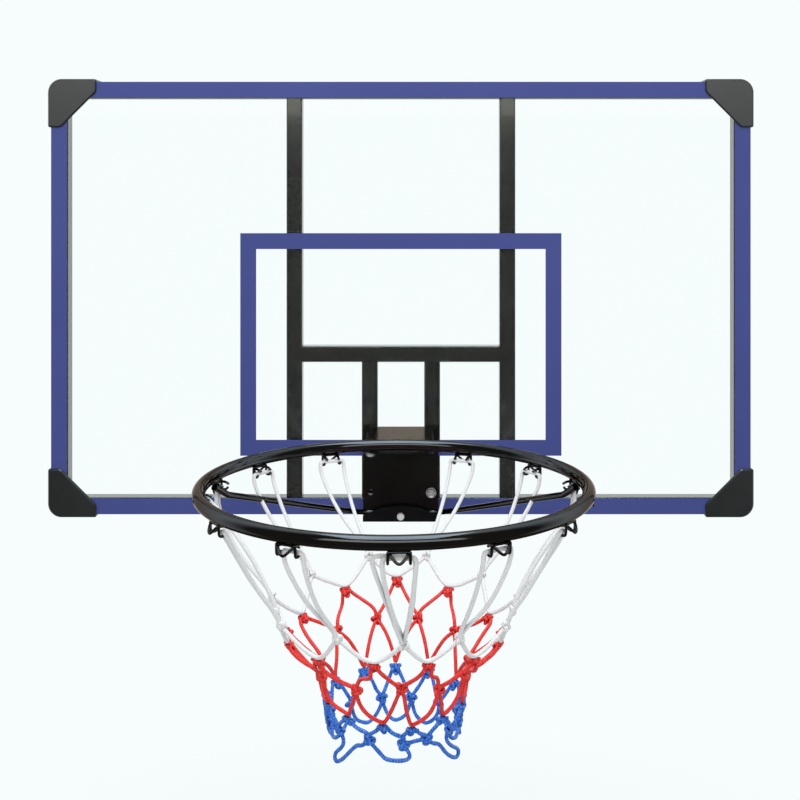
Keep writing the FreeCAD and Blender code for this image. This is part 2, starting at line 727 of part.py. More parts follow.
def brace_saddle():
    """Arched plate over the inner ends of the rods."""
    body = new_body("saddle")
    sketch = sketch_on(body, "XZ_Plane", SADDLE_BACK)
    half = value("sizes.plate_width") / 2
    radius = value("sizes.saddle_arch_radius")
    low = value(PLATE_BOTTOM)
    centre = Vector(0, low + value("sizes.saddle_height") - radius, 0)
    shoulder = centre.y + math.sqrt(radius ** 2 - half ** 2)
    lean = math.acos(half / radius)
    left_low, right_low = Vector(-half, low, 0), Vector(half, low, 0)
    left_top, right_top = Vector(-half, shoulder, 0), Vector(half, shoulder, 0)
    bottom = sketch.addGeometry(Part.LineSegment(left_low, right_low))
    right = sketch.addGeometry(Part.LineSegment(right_low, right_top))
    arch = sketch.addGeometry(Part.ArcOfCircle(Part.Circle(centre, Vector(0, 0, 1), radius),
                                               lean, math.pi - lean))
    left = sketch.addGeometry(Part.LineSegment(left_top, left_low))
    for first, second in ((bottom, right), (right, arch), (arch, left), (left, bottom)):
        sketch.addConstraint(Sketcher.Constraint("Coincident", first, 2, second, 1))
    sketch.addConstraint(Sketcher.Constraint("Vertical", right))
    sketch.addConstraint(Sketcher.Constraint("Vertical", left))
    bind_point(sketch, bottom, 1, "-sizes.plate_width / 2", PLATE_BOTTOM)
    bind_point(sketch, bottom, 2, "sizes.plate_width / 2", PLATE_BOTTOM)
    bind_point(sketch, arch, 3, "0", f"{PLATE_BOTTOM} + sizes.saddle_height - sizes.saddle_arch_radius")
    index = sketch.addConstraint(Sketcher.Constraint("Radius", arch, radius))
    sketch.setExpression(f"Constraints[{index}]", "sizes.saddle_arch_radius")
    circle(sketch, "0", SADDLE_SCREW, "sizes.rim_hole")
    pad(body, sketch, "sizes.saddle_thick")
    keep(body, "brace_saddle")


def saddle_screw():
    shank = bound_cylinder("saddle_screw_shank", "sizes.rim_bolt_diameter", f"{SADDLE_FRONT} - {FILM_FRONT}",
                           "0", SADDLE_FRONT, SADDLE_SCREW)
    head = bound_cylinder("saddle_screw_head", "sizes.saddle_screw_head", "sizes.bolt_head_height",
                          "0", f"{SADDLE_FRONT} + sizes.bolt_head_height", SADDLE_SCREW)
    screw = fused("saddle_screw", [shank, head])
    doc.recompute()
    keep(screw, "brace_saddle_screw")


# Faceted wire and cord: a hexagon swept along straight runs with mitred corners

def hexagon_wire(centre, heading, radius):
    helper = Vector(1, 0, 0) if abs(heading.z) > 0.9 * heading.Length else Vector(0, 0, 1)
    side = heading.cross(helper).normalize()
    up = side.cross(heading).normalize()
    corners = []
    for step in range(7):
        angle = math.radians(60 * step)
        corners.append(centre + side * (radius * math.cos(angle)) + up * (radius * math.sin(angle)))
    return Part.makePolygon(corners)


def faceted_cord(points, diameter):
    """Hexagonal cord with the same section area as a round one of the diameter."""
    radius = diameter / 2 * math.sqrt(2 * math.pi / (3 * math.sqrt(3)))
    section = hexagon_wire(points[0], points[1] - points[0], radius)
    return Part.makePolygon(points).makePipeShell([section], True, False, 1)


def faceted_knot(centre, axis, across, length):
    """Short hexagonal barrel about a centre."""
    section = hexagon_wire(centre - axis * (length / 2), axis, across / 2)
    return Part.Face(section).extrude(axis * length)


def upright_knot(centre):
    return faceted_knot(centre, Vector(0, 0, 1), value("sizes.knot_across"), value("sizes.knot_tall"))


def feature_of(label, solids):
    feature = doc.addObject("Part::Feature", label)
    feature.Shape = Part.makeCompound(solids) if len(solids) > 1 else solids[0]
    keep(feature, label)


def hook_point(degrees, along, inward, below):
    """Point near a hook: along the ring, inward from its centreline and below its underside."""
    angle = math.radians(degrees)
    base = on_ring(degrees, inward)
    tangent = Vector(math.cos(angle), math.sin(angle), 0)
    return base + tangent * along - Vector(0, 0, value("sizes.ring_tube") / 2 + below)


def net_hooks():
    """Each hook is a staple under the ring with two inward tips, and a vee with two inward horns."""
    wire = value("sizes.hook_wire")
    top = wire / 2 + value("sizes.weld_gap")
    half, vee = value("sizes.hook_width") / 2, value("sizes.vee_width") / 2
    foot, tip_in = top + value("sizes.hook_leg"), value("sizes.hook_tip_inward")
    tip_low = foot + value("sizes.hook_tip_drop")
    vee_top = top + value("sizes.vee_top")
    vee_low, vee_out = vee_top + value("sizes.vee_depth"), value("sizes.vee_outward")
    horn_in = value("sizes.horn_inward")
    wires = []
    for degrees in HOOK_ANGLES:
        staple = [(-half, tip_in, tip_low), (-half, 0, foot), (-half, 0, top),
                  (half, 0, top), (half, 0, foot), (half, tip_in, tip_low)]
        horned_vee = [(-vee, horn_in, vee_top), (-vee, 0, vee_top), (0, -vee_out, vee_low),
                      (vee, 0, vee_top), (vee, horn_in, vee_top)]
        for shape in (staple, horned_vee):
            wires.append(faceted_cord([hook_point(degrees, *place) for place in shape], wire))
    feature_of("net_hooks", wires)


# Net: white loops and scallops, red diamonds, blue diamonds and bottom loops

NET_COLUMNS = len(HOOK_ANGLES)
NET_PITCH = 360 / NET_COLUMNS


def net_angle(column):
    """Angle of a column counted from the front, with columns gathered at the front left and drawn
    forward at the sides."""
    even = column * NET_PITCH
    turned = (even + 180) % 360 - 180
    away = (turned - value("sizes.gather_centre")) / value("sizes.gather_spread")
    aside = (abs(turned) - value("sizes.side_centre")) / value("sizes.side_spread")
    forward = -math.copysign(value("sizes.side_turn") * math.exp(-aside ** 2), turned)
    return even + value("sizes.gather_turn") * math.exp(-away ** 2) + forward


def net_point(column, row, extra_drop=0):
    """Knot or tip of the net: a column and a row named in the sizes."""
    degrees = net_angle(column)
    inset = value(f"{RING_RADIUS} - sizes.{row}_radius")
    drop = value(f"sizes.{row}_drop") + extra_drop
    side = math.sin(math.radians(degrees)) ** 2
    rear = side * (1 - math.cos(math.radians(degrees))) / 2
    if row == "scallop":
        sag = value("sizes.scallop_side_sag") * side
        inset += 0.6 * sag
        drop += sag + value("sizes.scallop_rear_sag") * rear
    if row == "white_knot":
        drop += value("sizes.white_rear_sag") * rear
    if row == "red_knot":
        drop += value("sizes.red_rear_sag") * rear
    if row in ("blue_knot", "blue_tip"):
        drop -= value("sizes.hem_tilt") * math.cos(math.radians(degrees))
    return on_ring(degrees, inset, drop)


def hanging_curve(column, knot_row, end_row, steps, fullness):
    """Cord from one knot to the next that hangs down to an end half-way."""
    points = []
    for step in range(steps + 1):
        fraction = step / steps
        knot_line = net_point(column + fraction, knot_row)
        end_line = net_point(column + fraction, end_row)
        sag = max(math.sin(math.pi * fraction), 0) ** fullness
        if end_row == "blue_tip":
            moved, raised = LOOSE_HEM.get(column, (0, 0))
            end_line = net_point(column + fraction + moved * sag, end_row, -raised * sag)
        points.append(knot_line + (end_line - knot_line) * sag)
    return points


def column_tangent(column):
    angle = math.radians(net_angle(column))
    return Vector(math.cos(angle), math.sin(angle), 0)


def one_solid(solids):
    """Cords of one colour, tied together into one piece."""
    tied = solids[0].multiFuse(solids[1:]).removeSplitter()
    if len(tied.Solids) != 1:
        raise RuntimeError("a tier of the net is not in one piece")
    return tied.Solids[0]


def white_tier():
    cord = value("sizes.white_cord")
    half = value("sizes.loop_width") / 2
    inward, below = value("sizes.loop_inward"), value("sizes.loop_drop")
    leg = value("sizes.loop_leg_width") / 2
    leg_inward, leg_below = value("sizes.loop_leg_inward"), value("sizes.loop_leg_drop")
    solids = []
    for column, degrees in enumerate(HOOK_ANGLES, start=-(NET_COLUMNS // 2)):
        knot = net_point(column, "white_knot")
        middle, spread = 0, 1
        if column in GATHERED_COLUMNS:
            middle = -math.copysign(value("sizes.hook_width") / 2, column)
            spread = value("sizes.gathered_loop_width / sizes.loop_width")
        top = hook_point(degrees, middle, inward, below)
        for side in (-1, 1):
            half_loop = [top, hook_point(degrees, middle + side * half * spread, inward, below),
                         hook_point(degrees, middle + side * leg * spread, leg_inward, leg_below), knot]
            solids.append(faceted_cord(half_loop, cord))
        solids.append(faceted_cord(hanging_curve(column, "white_knot", "scallop", 4, 1), cord))
        solids.append(upright_knot(knot))
    feature_of("net_white", [one_solid(solids)])


def hanging_tier(label, cord, tip_row, below_tip, rows, steps, fullness):
    """Wraps under the tips of the tier above, arched strands to a row of knots, and loops below them."""
    knot_row, end_row = rows
    across, long_wrap = value("sizes.wrap_across"), value("sizes.wrap_long")
    solids = []
    for column in range(NET_COLUMNS):
        wrap = net_point(column + 0.5, tip_row, below_tip)
        knot, next_knot = net_point(column, knot_row), net_point(column + 1, knot_row)
        arch = [knot]
        for low in (knot, next_knot):
            arch.append((wrap + low) * 0.5 + Vector(0, 0, 0.15 * (wrap.z - low.z)))
        arch.insert(2, wrap)
        arch.append(next_knot)
        solids.append(faceted_knot(wrap, column_tangent(column + 0.5), across, long_wrap))
        solids.append(upright_knot(knot))
        solids.append(faceted_cord(arch, cord))
        solids.append(faceted_cord(hanging_curve(column, knot_row, end_row, steps, fullness), cord))
    feature_of(label, [one_solid(solids)])


def net():
    white_tier()
    under_white = value("0.5 * sizes.white_cord + 0.5 * sizes.wrap_across + 2 * sizes.weld_gap")
    red_cord, blue_cord = value("sizes.red_cord"), value("sizes.blue_cord")
    hanging_tier("net_red", red_cord, "scallop", under_white, ("red_knot", "red_tip"), 2, 1)
    under_red = value("0.75 * sizes.red_cord + 0.5 * sizes.wrap_across + sizes.weld_gap")
    hanging_tier("net_blue", blue_cord, "red_tip", under_red, ("blue_knot", "blue_tip"), 4, 0.7)


clear_panel()
border_film()
target_film()
level_rails()
side_rails()
uprights()
crossbar_and_posts()
panel_tape()
panel_spacers()
corner_pads()
pad_screws()
mounting_nuts()
rim_plate()
rim_fasteners()
rim_ring()
rim_arm()
brace_rods()
brace_saddle()
saddle_screw()
net_hooks()
net()
doc.recompute()

for obj in doc.Objects:
    if "Invalid" in obj.State or "Error" in obj.State:
        raise RuntimeError(f"{obj.Label} failed: {obj.State}")
for obj in parts:
    if obj.Shape.isNull() or not obj.Shape.isValid():
        raise RuntimeError(f"{obj.Label} has no valid shape")

os.makedirs("parts", exist_ok=True)
for obj in parts:
    obj.Shape.exportStep(f"parts/{obj.Label}.step")
print(len(parts), "sub-parts written")
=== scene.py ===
import math
import random

import bmesh
import bpy
import numpy as np
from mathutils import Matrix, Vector


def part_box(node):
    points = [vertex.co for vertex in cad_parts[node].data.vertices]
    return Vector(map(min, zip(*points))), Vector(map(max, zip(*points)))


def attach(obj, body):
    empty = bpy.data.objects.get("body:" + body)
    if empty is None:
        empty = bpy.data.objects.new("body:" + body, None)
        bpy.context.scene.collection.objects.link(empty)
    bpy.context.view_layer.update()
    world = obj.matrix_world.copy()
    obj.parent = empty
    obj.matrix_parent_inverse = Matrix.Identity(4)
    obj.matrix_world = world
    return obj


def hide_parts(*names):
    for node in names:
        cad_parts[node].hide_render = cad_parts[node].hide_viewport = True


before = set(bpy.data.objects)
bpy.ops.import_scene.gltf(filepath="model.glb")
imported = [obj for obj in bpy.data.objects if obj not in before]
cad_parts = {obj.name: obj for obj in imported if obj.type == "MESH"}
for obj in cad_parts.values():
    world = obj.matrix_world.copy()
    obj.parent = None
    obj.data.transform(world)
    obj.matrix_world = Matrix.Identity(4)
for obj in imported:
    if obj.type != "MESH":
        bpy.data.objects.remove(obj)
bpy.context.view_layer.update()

# Tube frame: square steel tubes cut to length, butted together and welded into a grid. Rolling
# leaves the long corners of such tube round. The grid is powder coated black, with a fine
# orange-peel grain, and the coat on the top rail came out duller than the rest.

def chip(red, green, blue):
    """Colour of a paint chip, 0 to 255, as the shader wants it."""
    tones = []
    for level in (red, green, blue):
        part = level / 255
        tones.append(part / 12.92 if part <= 0.04045 else ((part + 0.055) / 1.055) ** 2.4)
    return (*tones, 1)


def new_finish(name):
    """A new material, with its nodes, its links and its shader."""
    finish = bpy.data.materials.new(name)
    finish.use_nodes = True
    tree = finish.node_tree
    return finish, tree.nodes, tree.links, tree.nodes["Principled BSDF"]


def grained_finish(name, dark, light, roughness, grain_size, grain_depth, gloss, patch_size=0.06,
                   gleam=(1, 1, 1), metal=0.0, lacquer=0.0):
    """Coating with two close tones in soft patches, and a fine grain that stands off the surface."""
    finish, nodes, links, shader = new_finish(name)
    place = nodes.new("ShaderNodeTexCoord")
    patches = nodes.new("ShaderNodeTexNoise")
    patches.inputs["Scale"].default_value = 1 / patch_size
    patches.inputs["Detail"].default_value = 4
    tones = nodes.new("ShaderNodeValToRGB")
    tones.color_ramp.elements[0].position = 0.35
    tones.color_ramp.elements[1].position = 0.65
    tones.color_ramp.elements[0].color = chip(*dark)
    tones.color_ramp.elements[1].color = chip(*light)
    rubbed = nodes.new("ShaderNodeMapRange")
    rubbed.inputs["To Min"].default_value = roughness[0]
    rubbed.inputs["To Max"].default_value = roughness[1]
    grain = nodes.new("ShaderNodeTexNoise")
    grain.inputs["Scale"].default_value = 1 / grain_size
    grain.inputs["Detail"].default_value = 2
    relief = nodes.new("ShaderNodeBump")
    relief.inputs["Strength"].default_value = 0.6
    relief.inputs["Distance"].default_value = grain_depth
    links.new(place.outputs["Object"], patches.inputs["Vector"])
    links.new(place.outputs["Object"], grain.inputs["Vector"])
    links.new(patches.outputs["Fac"], tones.inputs["Fac"])
    links.new(patches.outputs["Fac"], rubbed.inputs["Value"])
    links.new(tones.outputs["Color"], shader.inputs["Base Color"])
    links.new(rubbed.outputs["Result"], shader.inputs["Roughness"])
    links.new(grain.outputs["Fac"], relief.inputs["Height"])
    links.new(relief.outputs["Normal"], shader.inputs["Normal"])
    shader.inputs["Metallic"].default_value = metal
    shader.inputs["Coat Weight"].default_value = lacquer
    shader.inputs["Specular IOR Level"].default_value = gloss
    shader.inputs["Specular Tint"].default_value = (*gleam, 1)
    return finish


def dress(piece, finish):
    """Give a CAD node its finish."""
    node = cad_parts[piece]
    if not node.material_slots:
        node.data.materials.append(finish)
    for place in node.material_slots:
        place.material = finish


def rounded_copy(node, width, finish, long_edges_only=False, steps=3, dish=None):
    """Copy of a CAD node with its edges eased, and its front dished if asked, that stands in for it."""
    same_spot = 1e-6
    touching = 1e-5
    long_run = 0.04
    square_turn = 1.0
    flat = math.radians(1)
    felt_edge = math.radians(25)
    sharp_edge = math.radians(30)
    work = bmesh.new()
    work.from_mesh(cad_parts[node].data)
    bmesh.ops.remove_doubles(work, verts=work.verts, dist=same_spot)
    bmesh.ops.dissolve_limit(work, angle_limit=flat, verts=work.verts, edges=work.edges)
    weights = work.edges.layers.float.new("bevel_weight_edge")
    low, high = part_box(node)
    for edge in work.edges:
        turn = edge.calc_face_angle(0)
        eased = turn > felt_edge
        if long_edges_only:
            sides = 0
            for axis in range(3):
                places = [corner.co[axis] for corner in edge.verts]
                for limit in (low[axis], high[axis]):
                    sides += all(abs(at - limit) < touching for at in places)
            eased = sides == 2 and edge.calc_length() > long_run and turn > square_turn
        edge[weights] = 1.0 if eased else 0.0
    if dish:
        rim, depth = dish
        fronts = []
        for face in work.faces:
            if all(abs(corner.co.y - low[1]) < touching for corner in face.verts):
                fronts.append(face)
        bmesh.ops.inset_individual(work, faces=fronts, thickness=rim, depth=-depth)
    for face in work.faces:
        face.smooth = True
    mesh = bpy.data.meshes.new(f"{node}_eased")
    work.to_mesh(mesh)
    work.free()
    if "custom_normal" in mesh.attributes:
        mesh.attributes.remove(mesh.attributes["custom_normal"])
    mesh.set_sharp_from_angle(angle=sharp_edge)
    mesh.materials.clear()
    mesh.materials.append(finish)
    piece = bpy.data.objects.new(f"{node}_eased", mesh)
    bpy.context.collection.objects.link(piece)
    ease = piece.modifiers.new("eased_edges", "BEVEL")
    ease.limit_method = "WEIGHT"
    ease.width = width
    ease.segments = steps
    ease.harden_normals = True
    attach(piece, "root")
    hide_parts(node)
    return piece


coat_dark = (43, 43, 42)
coat_light = (47, 47, 46)
coat_gleam = (0.88, 1.0, 0.95)
peel_size = 0.0012
peel_depth = 0.00002
frame_coat = grained_finish("black_powder_coat", coat_dark, coat_light, (0.12, 0.17), peel_size,
                            peel_depth, gloss=0.9, gleam=coat_gleam, lacquer=0.4)
dull_coat = grained_finish("dull_powder_coat", coat_dark, coat_light, (0.38, 0.44), peel_size,
                           peel_depth, gloss=0.35, gleam=coat_gleam)
tube_corner = 0.0024
for tube in ("frame_bottom_rail", "frame_left_rail", "frame_right_rail",
             "left_upright", "right_upright", "crossbar", "left_rim_post", "right_rim_post"):
    rounded_copy(tube, tube_corner, frame_coat, long_edges_only=True)
rounded_copy("frame_top_rail", tube_corner, dull_coat, long_edges_only=True)

# Weld nuts: plain zinc hexagon nuts held inside the back wall of the uprights, for the bolts
# of whatever carries the board. Zinc plate on pressed steel has a fine grey spangle. Its corners,
# recesses and the gaps next to other parts are darkened with painted shade.

zinc = grained_finish("zinc_plate", (240, 241, 241), (253, 253, 251), (0.26, 0.4), grain_size=0.0009,
                      grain_depth=0.00003, gloss=0.6, patch_size=0.004, metal=0.1)
zinc_nodes = zinc.node_tree.nodes
zinc_links = zinc.node_tree.links
zinc_colour = zinc_nodes["Principled BSDF"].inputs["Base Color"]
unshaded_zinc = zinc_colour.links[0].from_socket
# Painted shade: ambient occlusion darkens the zinc towards a dark brown-grey in corners, recesses and
# gaps next to other parts.
zinc_crevice_occlusion = zinc_nodes.new("ShaderNodeAmbientOcclusion")
zinc_crevice_occlusion.inputs["Distance"].default_value = 0.006
zinc_unshaded_share = zinc_nodes.new("ShaderNodeMapRange")
zinc_unshaded_share.inputs["From Min"].default_value = 0.60
zinc_unshaded_share.inputs["From Max"].default_value = 0.97
painted_shade_zinc = zinc_nodes.new("ShaderNodeMix")
painted_shade_zinc.data_type = "RGBA"
painted_shade_zinc.inputs["A"].default_value = chip(52, 48, 44)
zinc_links.new(zinc_crevice_occlusion.outputs["AO"], zinc_unshaded_share.inputs["Value"])
zinc_links.new(zinc_unshaded_share.outputs["Result"], painted_shade_zinc.inputs["Factor"])
zinc_links.new(unshaded_zinc, painted_shade_zinc.inputs["B"])
zinc_links.new(painted_shade_zinc.outputs["Result"], zinc_colour)
weld_nut_edge = 0.0004
rounded_copy("mounting_nuts", weld_nut_edge, zinc, steps=2)

# Bonding tape and spacers: black foam tape between the rails and the panel, and rubber rings
# that keep the rim posts off the panel where the rim bolts squeeze it.

foam = grained_finish("bonding_foam", (16, 16, 17), (24, 24, 25), (0.75, 0.9), grain_size=0.0005,
                      grain_depth=0.00008, gloss=0.2)
dress("panel_tape", foam)
rubber = grained_finish("spacer_rubber", (14, 14, 14), (22, 21, 21), (0.55, 0.7), grain_size=0.002,
                        grain_depth=0.00004, gloss=0.3)
dress("panel_spacers", rubber)

# Clear panel: one sheet of clear polycarbonate with routed corners. It is stuck to the tape,
# and its faces carry only very faint handling haze.

panel_finish, panel_nodes, panel_links, panel_shader = new_finish("clear_sheet")
panel_place = panel_nodes.new("ShaderNodeTexCoord")
haze = panel_nodes.new("ShaderNodeTexNoise")
haze.inputs["Scale"].default_value = 5
haze.inputs["Detail"].default_value = 3
haze_depth = panel_nodes.new("ShaderNodeMapRange")
haze_depth.inputs["To Min"].default_value = 0.0
haze_depth.inputs["To Max"].default_value = 0.03
sheet_tint = panel_nodes.new("ShaderNodeValToRGB")
sheet_tint.color_ramp.elements[0].color = (0.985, 1.0, 0.996, 1)
sheet_tint.color_ramp.elements[1].color = (1.0, 1.0, 1.0, 1)
panel_links.new(panel_place.outputs["Object"], haze.inputs["Vector"])
panel_links.new(haze.outputs["Fac"], haze_depth.inputs["Value"])
panel_links.new(haze.outputs["Fac"], sheet_tint.inputs["Fac"])
panel_links.new(sheet_tint.outputs["Color"], panel_shader.inputs["Base Color"])
panel_links.new(haze_depth.outputs["Result"], panel_shader.inputs["Roughness"])
panel_shader.inputs["Transmission Weight"].default_value = 1.0
panel_shader.inputs["IOR"].default_value = 1.12
dress("clear_panel", panel_finish)

# Blue lines: a border and a target square cut from one blue film with a satin face. They are
# rolled onto the front of the panel, where the glue wets the sheet and leaves no air behind.

blue_film = grained_finish("blue_film", (71, 81, 145), (75, 85, 150), (0.4, 0.5), grain_size=0.0008,
                           grain_depth=0.00001, gloss=0.2, patch_size=0.2)
film_edge = 0.00004
wetted_in = 0.00003
on_face = 1e-6
for lines in ("border_film", "target_film"):
    film = rounded_copy(lines, film_edge, blue_film, steps=1)
    stuck_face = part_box(lines)[1][1]
    for corner in film.data.vertices:
        if corner.co.y > stuck_face - on_face:
            corner.co.y += wetted_in

# Corner pads: moulded black plastic caps over the four corners of the frame, each held from
# behind by two pan-head screws. The moulding is finely textured and eased on every edge.

pad_plastic = grained_finish("pad_plastic", (38, 41, 41), (45, 48, 48), (0.26, 0.34), grain_size=0.0011,
                             grain_depth=0.00005, gloss=1.0, gleam=(0.86, 0.96, 1.0))
pad_edge = 0.0012
pad_screw_edge = 0.0007
for corner in ("top_left", "top_right", "bottom_left", "bottom_right"):
    rounded_copy(f"corner_pad_{corner}", pad_edge, pad_plastic)
rounded_copy("corner_pad_screws", pad_screw_edge, zinc)

# Rim plate and arm: flame-cut plate bolted through the panel, with a folded arm welded square
# to its top edge. Both are sprayed gloss black after welding.

rim_coat = grained_finish("rim_gloss_black", (43, 50, 48), (51, 58, 56), (0.18, 0.25), grain_size=0.004,
                          grain_depth=0.00002, gloss=0.1, gleam=(0.56, 0.46, 0.40), metal=0.85)
plate_edge = 0.0003
arm_edge = 0.0012
rounded_copy("rim_plate", plate_edge, rim_coat)
rounded_copy("rim_arm", arm_edge, rim_coat)

# Rim ring: round steel bar rolled into a hoop and butt welded, resting on the arm. The spray
# flows out glossier on the bar than on the plate.

ring_coat = grained_finish("ring_gloss_black", (80, 84, 88), (88, 91, 94), (0.08, 0.13), grain_size=0.02,
                           grain_depth=0.00008, gloss=0.1, gleam=(0.46, 0.40, 0.36), metal=1.0)
dress("rim_ring", ring_coat)

# Braces and saddle: two bent rods from the sides of the ring to the foot of the plate, where
# an arched plate clamps their inner ends. They are sprayed with the rim.

dress("left_brace_rod", ring_coat)
dress("right_brace_rod", ring_coat)
saddle_edge = 0.0008
rounded_copy("brace_saddle", saddle_edge, rim_coat)

# Rim fasteners: zinc hexagon bolts with dished heads and flat washers in two of the four holes,
# nuts behind, and one zinc screw with a domed head through the saddle.

bolt_metal = 0.6
bolt_zinc = zinc.copy()
bolt_zinc.name = "bolt_zinc"
bolt_zinc.node_tree.nodes["Principled BSDF"].inputs["Metallic"].default_value = bolt_metal
bolt_edge = 0.0010
head_rim = 0.0022
head_dish = 0.0016
washer_edge = 0.0004
nut_edge = 0.0006
crown_round = 0.0044
on_crown = 1e-5
rounded_copy("rim_bolts", bolt_edge, bolt_zinc, dish=(head_rim, head_dish))
rounded_copy("rim_front_washers", washer_edge, zinc, steps=2)
rounded_copy("rim_back_washers", washer_edge, zinc, steps=2)
rounded_copy("rim_nuts", nut_edge, zinc, steps=2)
saddle_screw = rounded_copy("brace_saddle_screw", crown_round, zinc, steps=8).data
crown_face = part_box("brace_saddle_screw")[0][1]
eased_edges = saddle_screw.attributes["bevel_weight_edge"].data
for edge in saddle_screw.edges:
    if any(saddle_screw.vertices[corner].co.y > crown_face + on_crown for corner in edge.vertices):
        eased_edges[edge.index].value = 0

# Net hooks: each is a staple of round wire welded under the ring with its tips turned inward,
# and a vee of the same wire welded across the legs. The cord sits between tip and horn.

ring_middle = Vector((0, -0.440, -0.1937))
ring_radius = 0.233
ring_bar = 0.016
hook_wire = 0.0032
hook_half = 0.0115
hook_angles = [-156, -128, -105, -88, -56.5, -27.3, 2.5, 29.5, 57.5, 86, 105, 128, 157]


def below_ring(degrees, along, inward, below):
    """Point near a hook: along the ring, inward from its bar and below its underside."""
    turn = math.radians(degrees)
    radius = ring_radius - inward
    across = Vector((math.cos(turn), math.sin(turn), 0)) * along
    under = Vector((radius * math.sin(turn), -radius * math.cos(turn), -ring_bar / 2 - below))
    return ring_middle + under + across


def smooth_lines(routes, closed=False, steps=5):
    """Points along smooth lines whose control points are the routes."""
    curve = bpy.data.curves.new("route", "CURVE")
    curve.dimensions = "3D"
    curve.resolution_u = steps
    for route in routes:
        spline = curve.splines.new("NURBS")
        spline.points.add(len(route) - 1)
        for point, place in zip(spline.points, route):
            point.co = (*place, 1)
        spline.order_u = 3
        if closed:
            spline.use_cyclic_u = True
        else:
            spline.use_endpoint_u = True
    holder = bpy.data.objects.new("route", curve)
    line = bpy.data.meshes.new_from_object(holder)
    joined = {(min(edge.vertices), max(edge.vertices)) for edge in line.edges}
    chains = [[0]]
    for index in range(1, len(line.vertices)):
        if (index - 1, index) in joined:
            chains[-1].append(index)
        else:
            chains.append([index])
    places = np.array([vertex.co for vertex in line.vertices])
    bpy.data.objects.remove(holder)
    bpy.data.curves.remove(curve)
    bpy.data.meshes.remove(line)
    return [places[chain] for chain in chains]


def laid_tube(name, open_routes, closed_routes, diameter, finish, ridges=0, ridge_height=0.0):
    """One mesh of round wire or cord laid along smooth lines, with twist ridges raised on it."""
    sides = 10
    ridge_pitch = 0.014
    lay_length = 0.01
    closing_step = 0.002
    off_line = (0.3, 0.2, 1)
    lines = [(chain, False) for chain in smooth_lines(open_routes)]
    if closed_routes:
        lines += [(chain, True) for chain in smooth_lines(closed_routes, closed=True)]
    around = np.arange(sides) * 2 * math.pi / sides
    corners, faces, lays = [], [], []
    for chain, closed in lines:
        count = len(chain)
        if closed:
            heading = np.roll(chain, -1, 0) - np.roll(chain, 1, 0)
        else:
            heading = np.gradient(chain, axis=0)
        heading /= np.linalg.norm(heading, axis=1)[:, None]
        gone = np.concatenate([[0], np.cumsum(np.linalg.norm(np.diff(chain, axis=0), axis=1))])
        side = np.cross(heading[0], off_line)
        first = len(corners)
        for index in range(count):
            side = side - heading[index] * np.dot(side, heading[index])
            side /= np.linalg.norm(side)
            up = np.cross(heading[index], side)
            swell = 1 + ridge_height * np.cos(ridges * around + 2 * math.pi * gone[index] / ridge_pitch)
            ring = chain[index] + diameter / 2 * (np.outer(np.cos(around) * swell, side)
                                                  + np.outer(np.sin(around) * swell, up))
            corners.extend(ring)
        for index in range(count if closed else count - 1):
            here = first + index * sides
            there = first + ((index + 1) % count) * sides
            back = gone[index]
            ahead = gone[index + 1] if index + 1 < count else back + closing_step
            for step in range(sides):
                after = (step + 1) % sides
                faces.append((here + step, here + after, there + after, there + step))
                lays.append(((back, step), (back, step + 1), (ahead, step + 1), (ahead, step)))
        if not closed:
            faces.append(tuple(first + step for step in reversed(range(sides))))
            lays.append(tuple((0.0, step) for step in reversed(range(sides))))
            end = first + (count - 1) * sides
            faces.append(tuple(end + step for step in range(sides)))
            lays.append(tuple((gone[-1], step) for step in range(sides)))
    mesh = bpy.data.meshes.new(name)
    mesh.from_pydata([tuple(corner) for corner in corners], [], faces)
    lay = mesh.uv_layers.new(name="lay")
    flat = [(along / lay_length, step / sides) for face in lays for along, step in face]
    lay.data.foreach_set("uv", np.array(flat, np.float32).ravel())
    mesh.polygons.foreach_set("use_smooth", [True] * len(mesh.polygons))
    mesh.materials.append(finish)
    piece = bpy.data.objects.new(name, mesh)
    bpy.context.collection.objects.link(piece)
    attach(piece, "root")
    return piece


staple = [(-1, 0.0088, 0.0108), (-1, 0.0075, 0.0138), (-1, 0.0008, 0.0140), (-1, 0, 0.0090),
          (-1, 0, 0.0020), (-0.96, 0, 0.0017), (0.96, 0, 0.0017), (1, 0, 0.0020),
          (1, 0, 0.0090), (1, 0.0008, 0.0140), (1, 0.0075, 0.0138), (1, 0.0088, 0.0108)]
horned_vee = [(-0.74, 0.0115, 0.0062), (-0.76, 0.0085, 0.0038), (-0.80, 0.0, 0.0034),
              (-0.78, -0.0016, 0.0040), (-0.34, -0.0055, 0.0100), (0, -0.0062, 0.0122),
              (0.34, -0.0055, 0.0100), (0.78, -0.0016, 0.0040), (0.80, 0.0, 0.0034),
              (0.76, 0.0085, 0.0038), (0.74, 0.0115, 0.0062)]
hook_routes = []
for angle in hook_angles:
    for wire in (staple, horned_vee):
        route = [below_ring(angle, part * hook_half, inward, below) for part, inward, below in wire]
        hook_routes.append(route)
hooks = laid_tube("wire_net_hooks", hook_routes, [], hook_wire, ring_coat)
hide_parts("net_hooks")

# White tier of the net: braided nylon cord. A loop hangs from each hook and is gathered into
# a knot, and slack scallops run from knot to knot to carry the next tier. The front loop takes
# a second turn over its hook.

# Columns of loops and knots are counted from the front, where 0 is, to the left and the right.
columns = range(-6, 7)
hand = random.Random(11)


